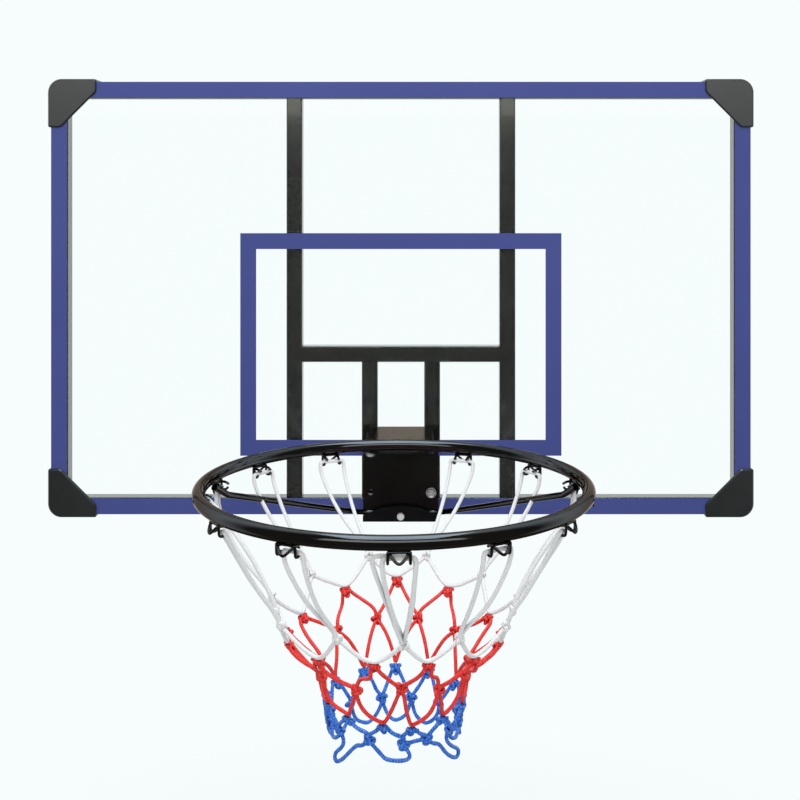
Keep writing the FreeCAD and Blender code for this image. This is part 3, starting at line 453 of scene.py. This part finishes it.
def braided_finish(name, crevice_shade, shade, face, light, roughness, gloss):
    """Braided cord: two sets of strands that cross over and under along the cord."""
    strands_round = 4
    crossings_along = 1.5
    weave_share = 0.38
    fibre_share = 0.62
    finish, nodes, links, shader = new_finish(name)
    lay = nodes.new("ShaderNodeUVMap")
    lay.uv_map = "lay"
    split = nodes.new("ShaderNodeSeparateXYZ")
    links.new(lay.outputs["UV"], split.inputs["Vector"])
    strands = []
    for turn in (strands_round, -strands_round):
        around = nodes.new("ShaderNodeMath")
        around.operation = "MULTIPLY"
        around.inputs[1].default_value = turn * 2 * math.pi
        along = nodes.new("ShaderNodeMath")
        along.operation = "MULTIPLY_ADD"
        along.inputs[1].default_value = crossings_along * 2 * math.pi
        wave = nodes.new("ShaderNodeMath")
        wave.operation = "SINE"
        links.new(split.outputs["Y"], around.inputs[0])
        links.new(split.outputs["X"], along.inputs[0])
        links.new(around.outputs["Value"], along.inputs[2])
        links.new(along.outputs["Value"], wave.inputs[0])
        strands.append(wave)
    crossing = nodes.new("ShaderNodeMath")
    crossing.operation = "MULTIPLY"
    links.new(strands[0].outputs["Value"], crossing.inputs[0])
    links.new(strands[1].outputs["Value"], crossing.inputs[1])
    weave = nodes.new("ShaderNodeMapRange")
    weave.inputs["From Min"].default_value = -1
    links.new(crossing.outputs["Value"], weave.inputs["Value"])
    place = nodes.new("ShaderNodeTexCoord")
    fibres = nodes.new("ShaderNodeTexNoise")
    fibres.inputs["Scale"].default_value = 240
    fibres.inputs["Detail"].default_value = 3
    links.new(place.outputs["Object"], fibres.inputs["Vector"])
    fuzz = nodes.new("ShaderNodeMath")
    fuzz.operation = "MULTIPLY"
    fuzz.inputs[1].default_value = fibre_share
    links.new(fibres.outputs["Fac"], fuzz.inputs[0])
    height = nodes.new("ShaderNodeMath")
    height.operation = "MULTIPLY_ADD"
    height.inputs[1].default_value = weave_share
    links.new(weave.outputs["Result"], height.inputs[0])
    links.new(fuzz.outputs["Value"], height.inputs[2])
    # Tones follow the weave's relief and a random fibre noise: darker in the dips and lighter on the
    # crowns. This is partly the cord's own fibre tone and partly painted shade and painted highlight.
    tones = nodes.new("ShaderNodeValToRGB")
    tones.color_ramp.elements[0].position = 0.12
    tones.color_ramp.elements[0].color = chip(*shade)
    tones.color_ramp.elements[1].position = 0.85
    tones.color_ramp.elements[1].color = chip(*light)
    middle = tones.color_ramp.elements.new(0.4)
    middle.color = chip(*face)
    links.new(height.outputs["Value"], tones.inputs["Fac"])
    # Painted shade: ambient occlusion darkens the cord towards the crevice shade where it crowds in
    # knots, crossings and tangles.
    cord_crevice_occlusion = nodes.new("ShaderNodeAmbientOcclusion")
    cord_crevice_occlusion.inputs["Distance"].default_value = 0.008
    cord_unshaded_share = nodes.new("ShaderNodeMapRange")
    cord_unshaded_share.inputs["From Min"].default_value = 0.25
    cord_unshaded_share.inputs["From Max"].default_value = 0.9
    painted_shade_cord = nodes.new("ShaderNodeMix")
    painted_shade_cord.data_type = "RGBA"
    painted_shade_cord.inputs["A"].default_value = chip(*crevice_shade)
    links.new(cord_crevice_occlusion.outputs["AO"], cord_unshaded_share.inputs["Value"])
    links.new(cord_unshaded_share.outputs["Result"], painted_shade_cord.inputs["Factor"])
    links.new(tones.outputs["Color"], painted_shade_cord.inputs["B"])
    links.new(painted_shade_cord.outputs["Result"], shader.inputs["Base Color"])
    relief = nodes.new("ShaderNodeBump")
    relief.inputs["Strength"].default_value = 0.7
    relief.inputs["Distance"].default_value = 0.0004
    links.new(height.outputs["Value"], relief.inputs["Height"])
    links.new(relief.outputs["Normal"], shader.inputs["Normal"])
    shader.inputs["Roughness"].default_value = roughness
    shader.inputs["Specular IOR Level"].default_value = gloss
    return finish


def next_column(column):
    """The next column round the ring, with the first again after the last."""
    return column + 1 if column + 1 in columns else columns[0]


def turned_from_front(degrees):
    """The same angle from the front, between -180 and 180."""
    return (degrees + 180) % 360 - 180


def column_angle(column):
    """Angle of a column of knots: gathered at the front left, and drawn forward at the sides."""
    front_left = -20
    front_spread = 35
    rear_side = 115
    side_spread = 28
    even = column * 360 / len(columns)
    turned = turned_from_front(even)
    gathered = 6.5 * math.exp(-((turned - front_left) / front_spread) ** 2)
    forward = 7 * math.exp(-((abs(turned) - rear_side) / side_spread) ** 2)
    return even + gathered - math.copysign(forward, turned)


def hung(degrees, radius, drop):
    """Point of the net at an angle from the front, its distance from the ring's axis and its drop."""
    turn = math.radians(degrees)
    return ring_middle + Vector((radius * math.sin(turn), -radius * math.cos(turn), -drop))


def side_sag(degrees):
    """How far to the side of the ring an angle is, and how far to its rear sides, from 0 to 1."""
    turn = math.radians(degrees)
    return math.sin(turn) ** 2, math.sin(turn) ** 2 * (1 - math.cos(turn)) / 2


def by_hand(place, reach=0.0014):
    """The same place, as near as a hand ties it."""
    return place + Vector([hand.uniform(-reach, reach) for axis in range(3)])


def along_and_out(degrees):
    """Directions along the ring and outward from it."""
    turn = math.radians(degrees)
    along = Vector((math.cos(turn), math.sin(turn), 0))
    return along, Vector((along.y, -along.x, 0))


def pulled_knot(centre, degrees, across, tall, cord):
    """Overhand knot pulled tight: a closed trefoil that faces outward, leaned a little by hand."""
    bends = 12
    spread = 0.71
    over_under = 0.5
    along, out = along_and_out(degrees)
    lean = hand.uniform(0, 2 * math.pi / 3)
    points = []
    for step in range(bends):
        turn = 2 * math.pi * step / bends
        side = (math.sin(turn + lean) + 2 * math.sin(2 * turn + lean)) / 3
        rise = (math.cos(turn + lean) - 2 * math.cos(2 * turn + lean)) / 3
        depth = -math.sin(3 * turn)
        points.append(centre + along * (side * (across - cord) * spread)
                      + Vector((0, 0, rise * (tall - cord) * spread))
                      + out * (depth * cord * over_under))
    return points


def between(start, end, sideways, fall):
    """Point part of the way across and part of the way down from start to end."""
    return Vector((start.x + (end.x - start.x) * sideways, start.y + (end.y - start.y) * sideways,
                   start.z + (end.z - start.z) * fall))


white_cord = 0.0050
white_finish = braided_finish("white_braid", (172, 172, 178), (226, 227, 229), (246, 246, 246),
                              (254, 254, 253), roughness=0.5, gloss=0.25)
white_knot_across = 0.0115
white_knot_tall = 0.0130
white_knot_radius = 0.157
white_knot_drop = 0.131
white_rear_sag = 0.030
white_knots = {}
for column in columns:
    angle = column_angle(column)
    drawn_in = 0.014 if abs(column) == 3 else 0
    drop = white_knot_drop + white_rear_sag * side_sag(angle)[1]
    white_knots[column] = by_hand(hung(angle, white_knot_radius - drawn_in, drop))


def scallop_bottom(column):
    """Lowest point of the scallop at a column, drawn in and held up at the sides of the ring."""
    angle = column_angle(column)
    side, rear = side_sag(angle)
    ring_side = 80
    side_spread = 20
    radius = 0.143 - 0.012 * side
    held_up = 0.011 * math.exp(-((abs(turned_from_front(angle)) - ring_side) / side_spread) ** 2)
    drop = 0.155 + 0.020 * side + 0.010 * rear - held_up
    return hung(angle, radius, drop)


def loop_halves(column, side):
    """Half the width of a loop over its hook and half its width below, open or gathered on one tip."""
    if abs(column) == 4:
        return 0.0026, 0.0030
    if abs(column) in (2, 3):
        return 0.0036, 0.0050
    if (column, side) == (-1, -1):
        return 0.0050, 0.0068
    return 0.0140, 0.0172


# Points of a loop, inward from the ring's bar and below it.
over_hook = (0.0052, 0.0092)
off_hook = (0.0062, 0.0110)
down_leg = (0.0085, 0.0270)
tight_leg = (0.0040, 0.0300)
# Points of a leg, as shares of its way across and down to the knot.
mid_leg = (0.42, 0.52)
tight_mid_leg = (0.34, 0.50)
bent_legs = {2: ((0.14, 0.15), (0.52, 0.54)), 3: ((0.22, 0.13), (0.66, 0.50))}
leg_narrows = 0.97
leg_wander = 0.002
into_knot = Vector((0, 0, -0.003))
above_knot = Vector((0, 0, 0.006))


def second_turn(knot, angle):
    """Cord from the knot once more over the hook, slack on the left, and back to the knot."""
    in_front = Vector((0, -0.004, 0))
    slack_leg = below_ring(angle, -0.0265, 0.0085, 0.0190)
    taut_leg = below_ring(angle, 0.0172, 0.0125, 0.0270)
    return [knot,
            between(knot, slack_leg, 0.12, 0.10) + in_front,
            between(knot, slack_leg, 0.50, 0.50) + in_front,
            slack_leg,
            below_ring(angle, -0.0275, 0.0085, 0.0100),
            below_ring(angle, -0.0220, 0.0096, 0.0072),
            below_ring(angle, 0.0140, 0.0096, 0.0092),
            below_ring(angle, 0.0178, 0.0105, 0.0120),
            taut_leg,
            between(taut_leg, knot, *mid_leg),
            knot]


white_open, white_closed = [], []
for column, angle in zip(columns, hook_angles):
    knot = white_knots[column]
    middle = 0
    if abs(column) in (2, 3, 4):
        tip_side = 1 if abs(column) == 3 else -1
        middle = math.copysign(hook_half, tip_side * column)
    legs = []
    for side in (-1, 1):
        half_top, half_leg = loop_halves(column, side)
        over = below_ring(angle, middle + side * half_top, *over_hook)
        corner = below_ring(angle, middle + side * half_leg, *off_hook)
        leg = below_ring(angle, middle + side * half_leg * leg_narrows, *down_leg)
        low = by_hand(between(leg, knot, *mid_leg), leg_wander)
        if abs(column) in bent_legs:
            upper_bend, lower_bend = bent_legs[abs(column)]
            leg = between(corner, knot, *upper_bend)
            low = by_hand(between(corner, knot, *lower_bend), leg_wander)
        if abs(column) == 4:
            leg = below_ring(angle, middle + side * half_leg, *tight_leg)
            low = by_hand(between(leg, knot, *tight_mid_leg), leg_wander)
        legs.append([knot + into_knot, knot + above_knot, low, leg, corner, over])
    white_open.append(legs[0] + legs[1][::-1])
    white_closed.append(pulled_knot(knot, column_angle(column), white_knot_across, white_knot_tall,
                                    white_cord))
    if column == 0:
        white_open.append(second_turn(knot, angle))

# Points of a scallop, as shares of its way across and down from the knot to its lowest point.
high_bend = (0.30, 0.42)
low_bend = (0.66, 0.86)
near_bottom = (0.92, 1.03)
for column in columns:
    bottom = scallop_bottom(column + 0.5)
    halves = []
    for knot in (white_knots[column], white_knots[next_column(column)]):
        slack = by_hand(between(knot, bottom, *low_bend))
        halves.append([knot, between(knot, bottom, *high_bend), slack,
                       between(knot, bottom, *near_bottom)])
    white_open.append(halves[0] + halves[1][::-1])

cord_ridges = 4
cord_ridge_height = 0.05
white_net = laid_tube("white_net_cord", white_open, white_closed, white_cord, white_finish,
                      cord_ridges, cord_ridge_height)
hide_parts("net_white")

# Red tier: thinner braided cord, hitched round the lowest point of each white scallop, drawn
# together into knots half-way between the hitches and spread again into vees. Two knots and
# one vee at the front hang a little low.

def wound_wrap(centre, degrees, across, long, cord, turns):
    """Cord wound round the cord of the tier above, from one end of the wrap to the other."""
    bends_each_turn = 6
    coil_spread = 1.12
    along, out = along_and_out(degrees)
    coil = (across - cord) / 2 * coil_spread
    count = int(turns * bends_each_turn) + 1
    points = []
    for step in range(count):
        turn = 2 * math.pi * step / bends_each_turn
        reach = (long - cord) * (step / (count - 1) - 0.5)
        points.append(centre + along * reach + out * (coil * math.cos(turn))
                      + Vector((0, 0, coil * math.sin(turn))))
    return points


def at_back(column):
    """Whether the hitch after a column is on the back half of the ring."""
    return abs(column + 0.5) > 3


def strand_fall(column, side, pull, hemmed):
    """Bends of a strand from hitch to knot, across and down, and where it starts on the hitch."""
    at_end = (0.0048, 0.0078, 0.0040)
    underneath = (0.0030, 0.0042, 0.0050)
    shoulder = [(0.48 - 0.10 * pull, 0.20 + 0.22 * pull), (0.90 - 0.10 * pull, 0.53 + 0.27 * pull)]
    straight = [(0.30, 0.33), (0.70, 0.70)]
    dropped = [(0.02, 0.26), (0.82, 0.58)]
    dropped_behind = [(0.0, 0.42), (0.88, 0.48)]
    strong_pull = 0.5
    behind = at_back(column)
    outer = (side * (column + 0.5) > 0) != behind
    if pull >= strong_pull:
        return shoulder, at_end
    if hemmed:
        return (straight, underneath) if behind else (shoulder, at_end)
    if column == columns[-1]:
        return straight, underneath
    if outer:
        return (dropped_behind if behind else dropped), underneath
    return (shoulder, at_end) if behind else (straight, underneath)


def vee_falls(column):
    """Bends of the two strands of a vee, each across and down to its tip and then along the ring."""
    slack = [(0.08, 0.26, 0), (0.36, 0.68, 0), (0.84, 0.95, 0)]
    taut = [(0.18, 0.18, 0), (0.52, 0.56, 0), (0.90, 0.94, 0)]
    bowed = [(0.28, 0.13, 0), (0.66, 0.50, 0), (0.94, 0.96, 0)]
    if at_back(column):
        return bowed, bowed
    return (slack, taut) if column < 0 else (taut, slack)


def hung_tier(cord, hitches, knots, tips, falls, knot_across, knot_tall, hemmed=False):
    """Hitches with tails tied inside, strands to the knots below, and vees or hem loops under those."""
    wrap_across = 0.0080
    wrap_long = 0.0165
    wrap_turns = 3.2
    tail_across = 0.0110
    tail_tall = 0.0105
    tail_inward = 0.0042
    tail_below = Vector((0, 0, -0.0034))
    onto_knot = Vector((0, 0, 0.003))
    strand_wander = 0.0018
    fall_wander = 0.0012
    open_routes, closed_routes = [], []
    for column in columns:
        hitch, tip = hitches[column], tips[column]
        ends = (knots[column], knots[next_column(column)])
        angle = column_angle(column + 0.5)
        along, out = along_and_out(angle)
        pull = side_sag(angle)[0]
        open_routes.append(wound_wrap(hitch, angle, wrap_across, wrap_long, cord, wrap_turns))
        tail = hitch - out * tail_inward + tail_below
        closed_routes.append(pulled_knot(tail, angle, tail_across, tail_tall, cord))
        for side, knot in zip((-1, 1), ends):
            bends, (begins, leaves, below) = strand_fall(column, side, pull, hemmed)
            start = hitch + along * (side * begins)
            leave = hitch + along * (side * leaves) + Vector((0, 0, -below))
            bent = [by_hand(between(leave, knot, *bend), strand_wander) for bend in bends]
            open_routes.append([start, leave, *bent, knot + onto_knot, knot])
        closed_routes.append(pulled_knot(ends[0], column_angle(column), knot_across, knot_tall, cord))
        falling = []
        for knot, bends in zip(ends, falls[column]):
            strand = [knot]
            for sideways, fall, bow in bends:
                strand.append(by_hand(between(knot, tip, sideways, fall) + along * bow, fall_wander))
            falling.append(strand)
        middle = [] if hemmed else [tip]
        open_routes.append(falling[0] + middle + falling[1][::-1])
    return open_routes, closed_routes


red_cord = 0.0046
red_finish = braided_finish("red_braid", (104, 2, 5), (200, 12, 14), (250, 44, 41), (255, 100, 92),
                            roughness=0.4, gloss=0.4)
red_knot_across = 0.0140
red_knot_tall = 0.0145
red_knots = {}
for column in columns:
    angle = column_angle(column)
    side, rear = side_sag(angle)
    lowered = 0.005 if abs(column) == 1 else 0
    radius = 0.111 - 0.022 * side ** 2
    drop = 0.200 + 0.021 * side ** 3 + 0.006 * rear + lowered
    red_knots[column] = by_hand(hung(angle, radius, drop))
red_tip_radius = 0.085
red_tip_drop = 0.248
below_cord = Vector((0, 0, -0.0058))
red_hitches, red_tips, red_falls = {}, {}, {}
for column in columns:
    moved, lowered = (-0.1, 0.006) if column == 0 else (0, 0)
    angle = column_angle(column + 0.5 + moved)
    red_tips[column] = by_hand(hung(angle, red_tip_radius, red_tip_drop + lowered))
    red_hitches[column] = scallop_bottom(column + 0.5) + below_cord
    red_falls[column] = vee_falls(column)
red_open, red_closed = hung_tier(red_cord, red_hitches, red_knots, red_tips, red_falls,
                                 red_knot_across, red_knot_tall)
red_net = laid_tube("red_net_cord", red_open, red_closed, red_cord, red_finish,
                    cord_ridges, cord_ridge_height)
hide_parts("net_red")

# Blue tier: the same thin cord in blue, hitched to the tips of the red vees and knotted once
# more. The hem below the knots is left as open loops, a little higher at the front, where some
# are drawn up or pulled aside.

blue_cord = 0.0046
blue_finish = braided_finish("blue_braid", (6, 18, 70), (9, 38, 132), (34, 104, 227), (110, 186, 255),
                             roughness=0.36, gloss=0.5)
blue_knot_across = 0.0150
blue_knot_tall = 0.0130
blue_knot_radius = 0.079
blue_knot_drop = 0.280
hem_radius = 0.078
hem_drop = 0.306
hem_wander = 0.002
front_rise = 0.011


def hem_sag(degrees):
    """How much lower than its middle height the hem hangs at an angle from the front."""
    return -front_rise * math.cos(math.radians(degrees))


# Knots moved aside by part of a column and lowered, and hem loops moved aside and raised.
low_knots = {-1: (0.05, 0.004), 0: (0.2, 0.008), 1: (0.05, 0.006)}
loose_hem = {-4: (0, 0.008), -3: (0.1, 0.014), -2: (-0.58, -0.007), -1: (0.36, 0.001), 0: (0, 0.020),
             1: (1.05, -0.012), 2: (-0.1, 0.014), 3: (0, 0.008)}
even_loop = [(0.04, 0.30, 0), (0.34, 0.80, 0), (0.82, 1.07, 0)]
long_leg = [(0.18, 0.24, 0), (0.40, 0.32, 0), (0.62, 0.68, 0), (0.82, 0.98, 0)]
drawn_up = [(0.30, 0.60, 0), (0.80, 1.05, 0)]
left_hairpin = [(0, 0.18, 0.007), (0.2, 0.52, 0.005), (1.0, 0.86, -0.006)]
right_hairpin = [(0, 0.18, -0.006), (0.2, 0.52, -0.002), (1.0, 0.86, 0.007)]
slanting_leg = [(0.20, 0.30, 0), (0.46, 0.70, 0), (0.70, 1.04, 0)]
swelling_leg = [(0, 0.35, 0.005), (0, 0.78, 0.008), (0.3, 1.06, 0.005)]
loose_falls = {-2: (left_hairpin, long_leg + [(1.0, 1.14, -0.001)]), -1: (slanting_leg, swelling_leg),
               0: (drawn_up, drawn_up), 1: (long_leg + [(1.0, 1.14, 0.002)], right_hairpin)}
blue_hitches, blue_knots, blue_tips, blue_falls = {}, {}, {}, {}
for column in columns:
    moved, lowered = low_knots.get(column, (0, 0))
    angle = column_angle(column + moved)
    drop = blue_knot_drop + hem_sag(angle) + lowered
    blue_knots[column] = by_hand(hung(angle, blue_knot_radius, drop))
    moved, raised = loose_hem.get(column, (0, 0))
    angle = column_angle(column + 0.5 + moved)
    drop = hem_drop + hem_sag(angle) - raised
    blue_tips[column] = by_hand(hung(angle, hem_radius, drop), hem_wander)
    blue_hitches[column] = red_tips[column] + below_cord
    blue_falls[column] = loose_falls.get(column, (even_loop, even_loop))
blue_open, blue_closed = hung_tier(blue_cord, blue_hitches, blue_knots, blue_tips, blue_falls,
                                   blue_knot_across, blue_knot_tall, hemmed=True)
blue_net = laid_tube("blue_net_cord", blue_open, blue_closed, blue_cord, blue_finish,
                     cord_ridges, cord_ridge_height)
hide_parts("net_blue")

# Studio: a pale round floor well below the net and an even pale surround, which the camera sees
# straight, in gloss and through clear pieces. What is mirrored sees a dim floor and, in front of
# the part, a dim room. A cool box of light hangs overhead and a warm one stands in front.

pale = chip(247, 253, 253)
dim_floor = chip(96, 88, 80)
dim_room = chip(78, 72, 66)
cool_fill = (0.95, 0.98, 1.0, 1)
floor_level = -1.35
floor_radius = 1.5
floor_sides = 96


def sight(nodes, links):
    """Two shares of a ray: seen straight, in gloss or through clear pieces, and mirrored on its way."""
    path = nodes.new("ShaderNodeLightPath")
    straight = nodes.new("ShaderNodeMath")
    straight.operation = "MAXIMUM"
    seen = nodes.new("ShaderNodeMath")
    seen.operation = "MAXIMUM"
    mirrored = nodes.new("ShaderNodeMath")
    mirrored.operation = "GREATER_THAN"
    links.new(path.outputs["Is Camera Ray"], straight.inputs[0])
    links.new(path.outputs["Is Transmission Ray"], straight.inputs[1])
    links.new(straight.outputs["Value"], seen.inputs[0])
    links.new(path.outputs["Is Glossy Ray"], seen.inputs[1])
    links.new(path.outputs["Glossy Depth"], mirrored.inputs[0])
    return seen.outputs["Value"], mirrored.outputs["Value"]


floor_mesh = bpy.data.meshes.new("studio_floor")
floor_work = bmesh.new()
bmesh.ops.create_circle(floor_work, cap_ends=True, segments=floor_sides, radius=floor_radius)
floor_work.to_mesh(floor_mesh)
floor_work.free()
floor = bpy.data.objects.new("studio_floor", floor_mesh)
floor.location = (0, 0, floor_level)
bpy.context.collection.objects.link(floor)
floor_finish, floor_nodes, floor_links, floor_shader = new_finish("studio_floor")
floor_nodes.remove(floor_shader)
floor_seen, floor_mirrored = sight(floor_nodes, floor_links)
matt = floor_nodes.new("ShaderNodeBsdfDiffuse")
glow = floor_nodes.new("ShaderNodeEmission")
floor_tone = floor_nodes.new("ShaderNodeMix")
floor_tone.data_type = "RGBA"
floor_tone.inputs["A"].default_value = pale
floor_tone.inputs["B"].default_value = dim_floor
floor_links.new(floor_mirrored, floor_tone.inputs["Factor"])
floor_links.new(floor_tone.outputs["Result"], matt.inputs["Color"])
floor_links.new(floor_tone.outputs["Result"], glow.inputs["Color"])
floor_place = floor_nodes.new("ShaderNodeTexCoord")
far = floor_nodes.new("ShaderNodeVectorMath")
far.operation = "LENGTH"
floor_links.new(floor_place.outputs["Object"], far.inputs[0])
fade = floor_nodes.new("ShaderNodeMapRange")
fade.inputs["From Min"].default_value = 0.3
fade.inputs["From Max"].default_value = 1.45
fade.inputs["To Min"].default_value = 0.75
fade.inputs["To Max"].default_value = 1.0
floor_links.new(far.outputs["Value"], fade.inputs["Value"])
share = floor_nodes.new("ShaderNodeMath")
share.operation = "MULTIPLY"
floor_links.new(floor_seen, share.inputs[0])
floor_links.new(fade.outputs["Result"], share.inputs[1])
blend = floor_nodes.new("ShaderNodeMixShader")
floor_links.new(share.outputs["Value"], blend.inputs["Fac"])
floor_links.new(matt.outputs["BSDF"], blend.inputs[1])
floor_links.new(glow.outputs["Emission"], blend.inputs[2])
floor_links.new(blend.outputs["Shader"], floor_nodes["Material Output"].inputs["Surface"])
floor_mesh.materials.append(floor_finish)

surround = bpy.data.worlds.new("studio_surround")
bpy.context.scene.world = surround
surround.use_nodes = True
sky_nodes = surround.node_tree.nodes
sky_links = surround.node_tree.links
sky_seen, sky_mirrored = sight(sky_nodes, sky_links)
fill = sky_nodes["Background"]
fill.inputs["Color"].default_value = cool_fill
fill.inputs["Strength"].default_value = 0.52
backdrop = sky_nodes.new("ShaderNodeBackground")
backdrop.inputs["Strength"].default_value = 1.0
sky_place = sky_nodes.new("ShaderNodeTexCoord")
sky_split = sky_nodes.new("ShaderNodeSeparateXYZ")
sky_links.new(sky_place.outputs["Generated"], sky_split.inputs["Vector"])
ahead = sky_nodes.new("ShaderNodeMapRange")
ahead.inputs["From Min"].default_value = 0.35
ahead.inputs["From Max"].default_value = -0.1
sky_links.new(sky_split.outputs["Y"], ahead.inputs["Value"])
dim = sky_nodes.new("ShaderNodeMath")
dim.operation = "MULTIPLY"
sky_links.new(ahead.outputs["Result"], dim.inputs[0])
sky_links.new(sky_mirrored, dim.inputs[1])
room_tone = sky_nodes.new("ShaderNodeMix")
room_tone.data_type = "RGBA"
room_tone.inputs["A"].default_value = pale
room_tone.inputs["B"].default_value = dim_room
sky_links.new(dim.outputs["Value"], room_tone.inputs["Factor"])
sky_links.new(room_tone.outputs["Result"], backdrop.inputs["Color"])
sky_blend = sky_nodes.new("ShaderNodeMixShader")
sky_links.new(sky_seen, sky_blend.inputs["Fac"])
sky_links.new(fill.outputs["Background"], sky_blend.inputs[1])
sky_links.new(backdrop.outputs["Background"], sky_blend.inputs[2])
sky_links.new(sky_blend.outputs["Shader"], sky_nodes["World Output"].inputs["Surface"])


def softbox(name, place, target, width, length, power, colour):
    """Box of soft light at a place, turned to its target."""
    lamp = bpy.data.lights.new(name, "AREA")
    lamp.shape = "RECTANGLE"
    lamp.size = width
    lamp.size_y = length
    lamp.energy = power
    lamp.color = colour
    box = bpy.data.objects.new(name, lamp)
    box.location = place
    box.rotation_euler = (Vector(target) - Vector(place)).to_track_quat("-Z", "Y").to_euler()
    bpy.context.collection.objects.link(box)


softbox("overhead_box", place=(0, -0.75, 1.75), target=(0, -0.75, 0), width=1.4, length=2.0,
        power=30, colour=(0.80, 0.91, 1.0))
softbox("front_box", place=(0, -2.7, 1.15), target=(0, -0.44, 1.15), width=3.6, length=1.3,
        power=26, colour=(1.0, 0.92, 0.84))

# Camera: level and square to the board, a little above the ring and right of its middle. The
# board and the net are brought into the frame by shifting the lens, so uprights stay upright.

camera_data = bpy.data.cameras.new("photo_camera")
camera_data.lens = 50.94
camera_data.sensor_width = 36
camera_data.shift_x = -0.0273
camera_data.shift_y = -0.2425
camera = bpy.data.objects.new("photo_camera", camera_data)
camera.location = (0.033, -1.810, 0.1447)
camera.rotation_euler = (math.radians(90), 0, 0)
bpy.context.collection.objects.link(camera)
bpy.context.scene.camera = camera
bpy.context.scene.view_settings.view_transform = "Standard"
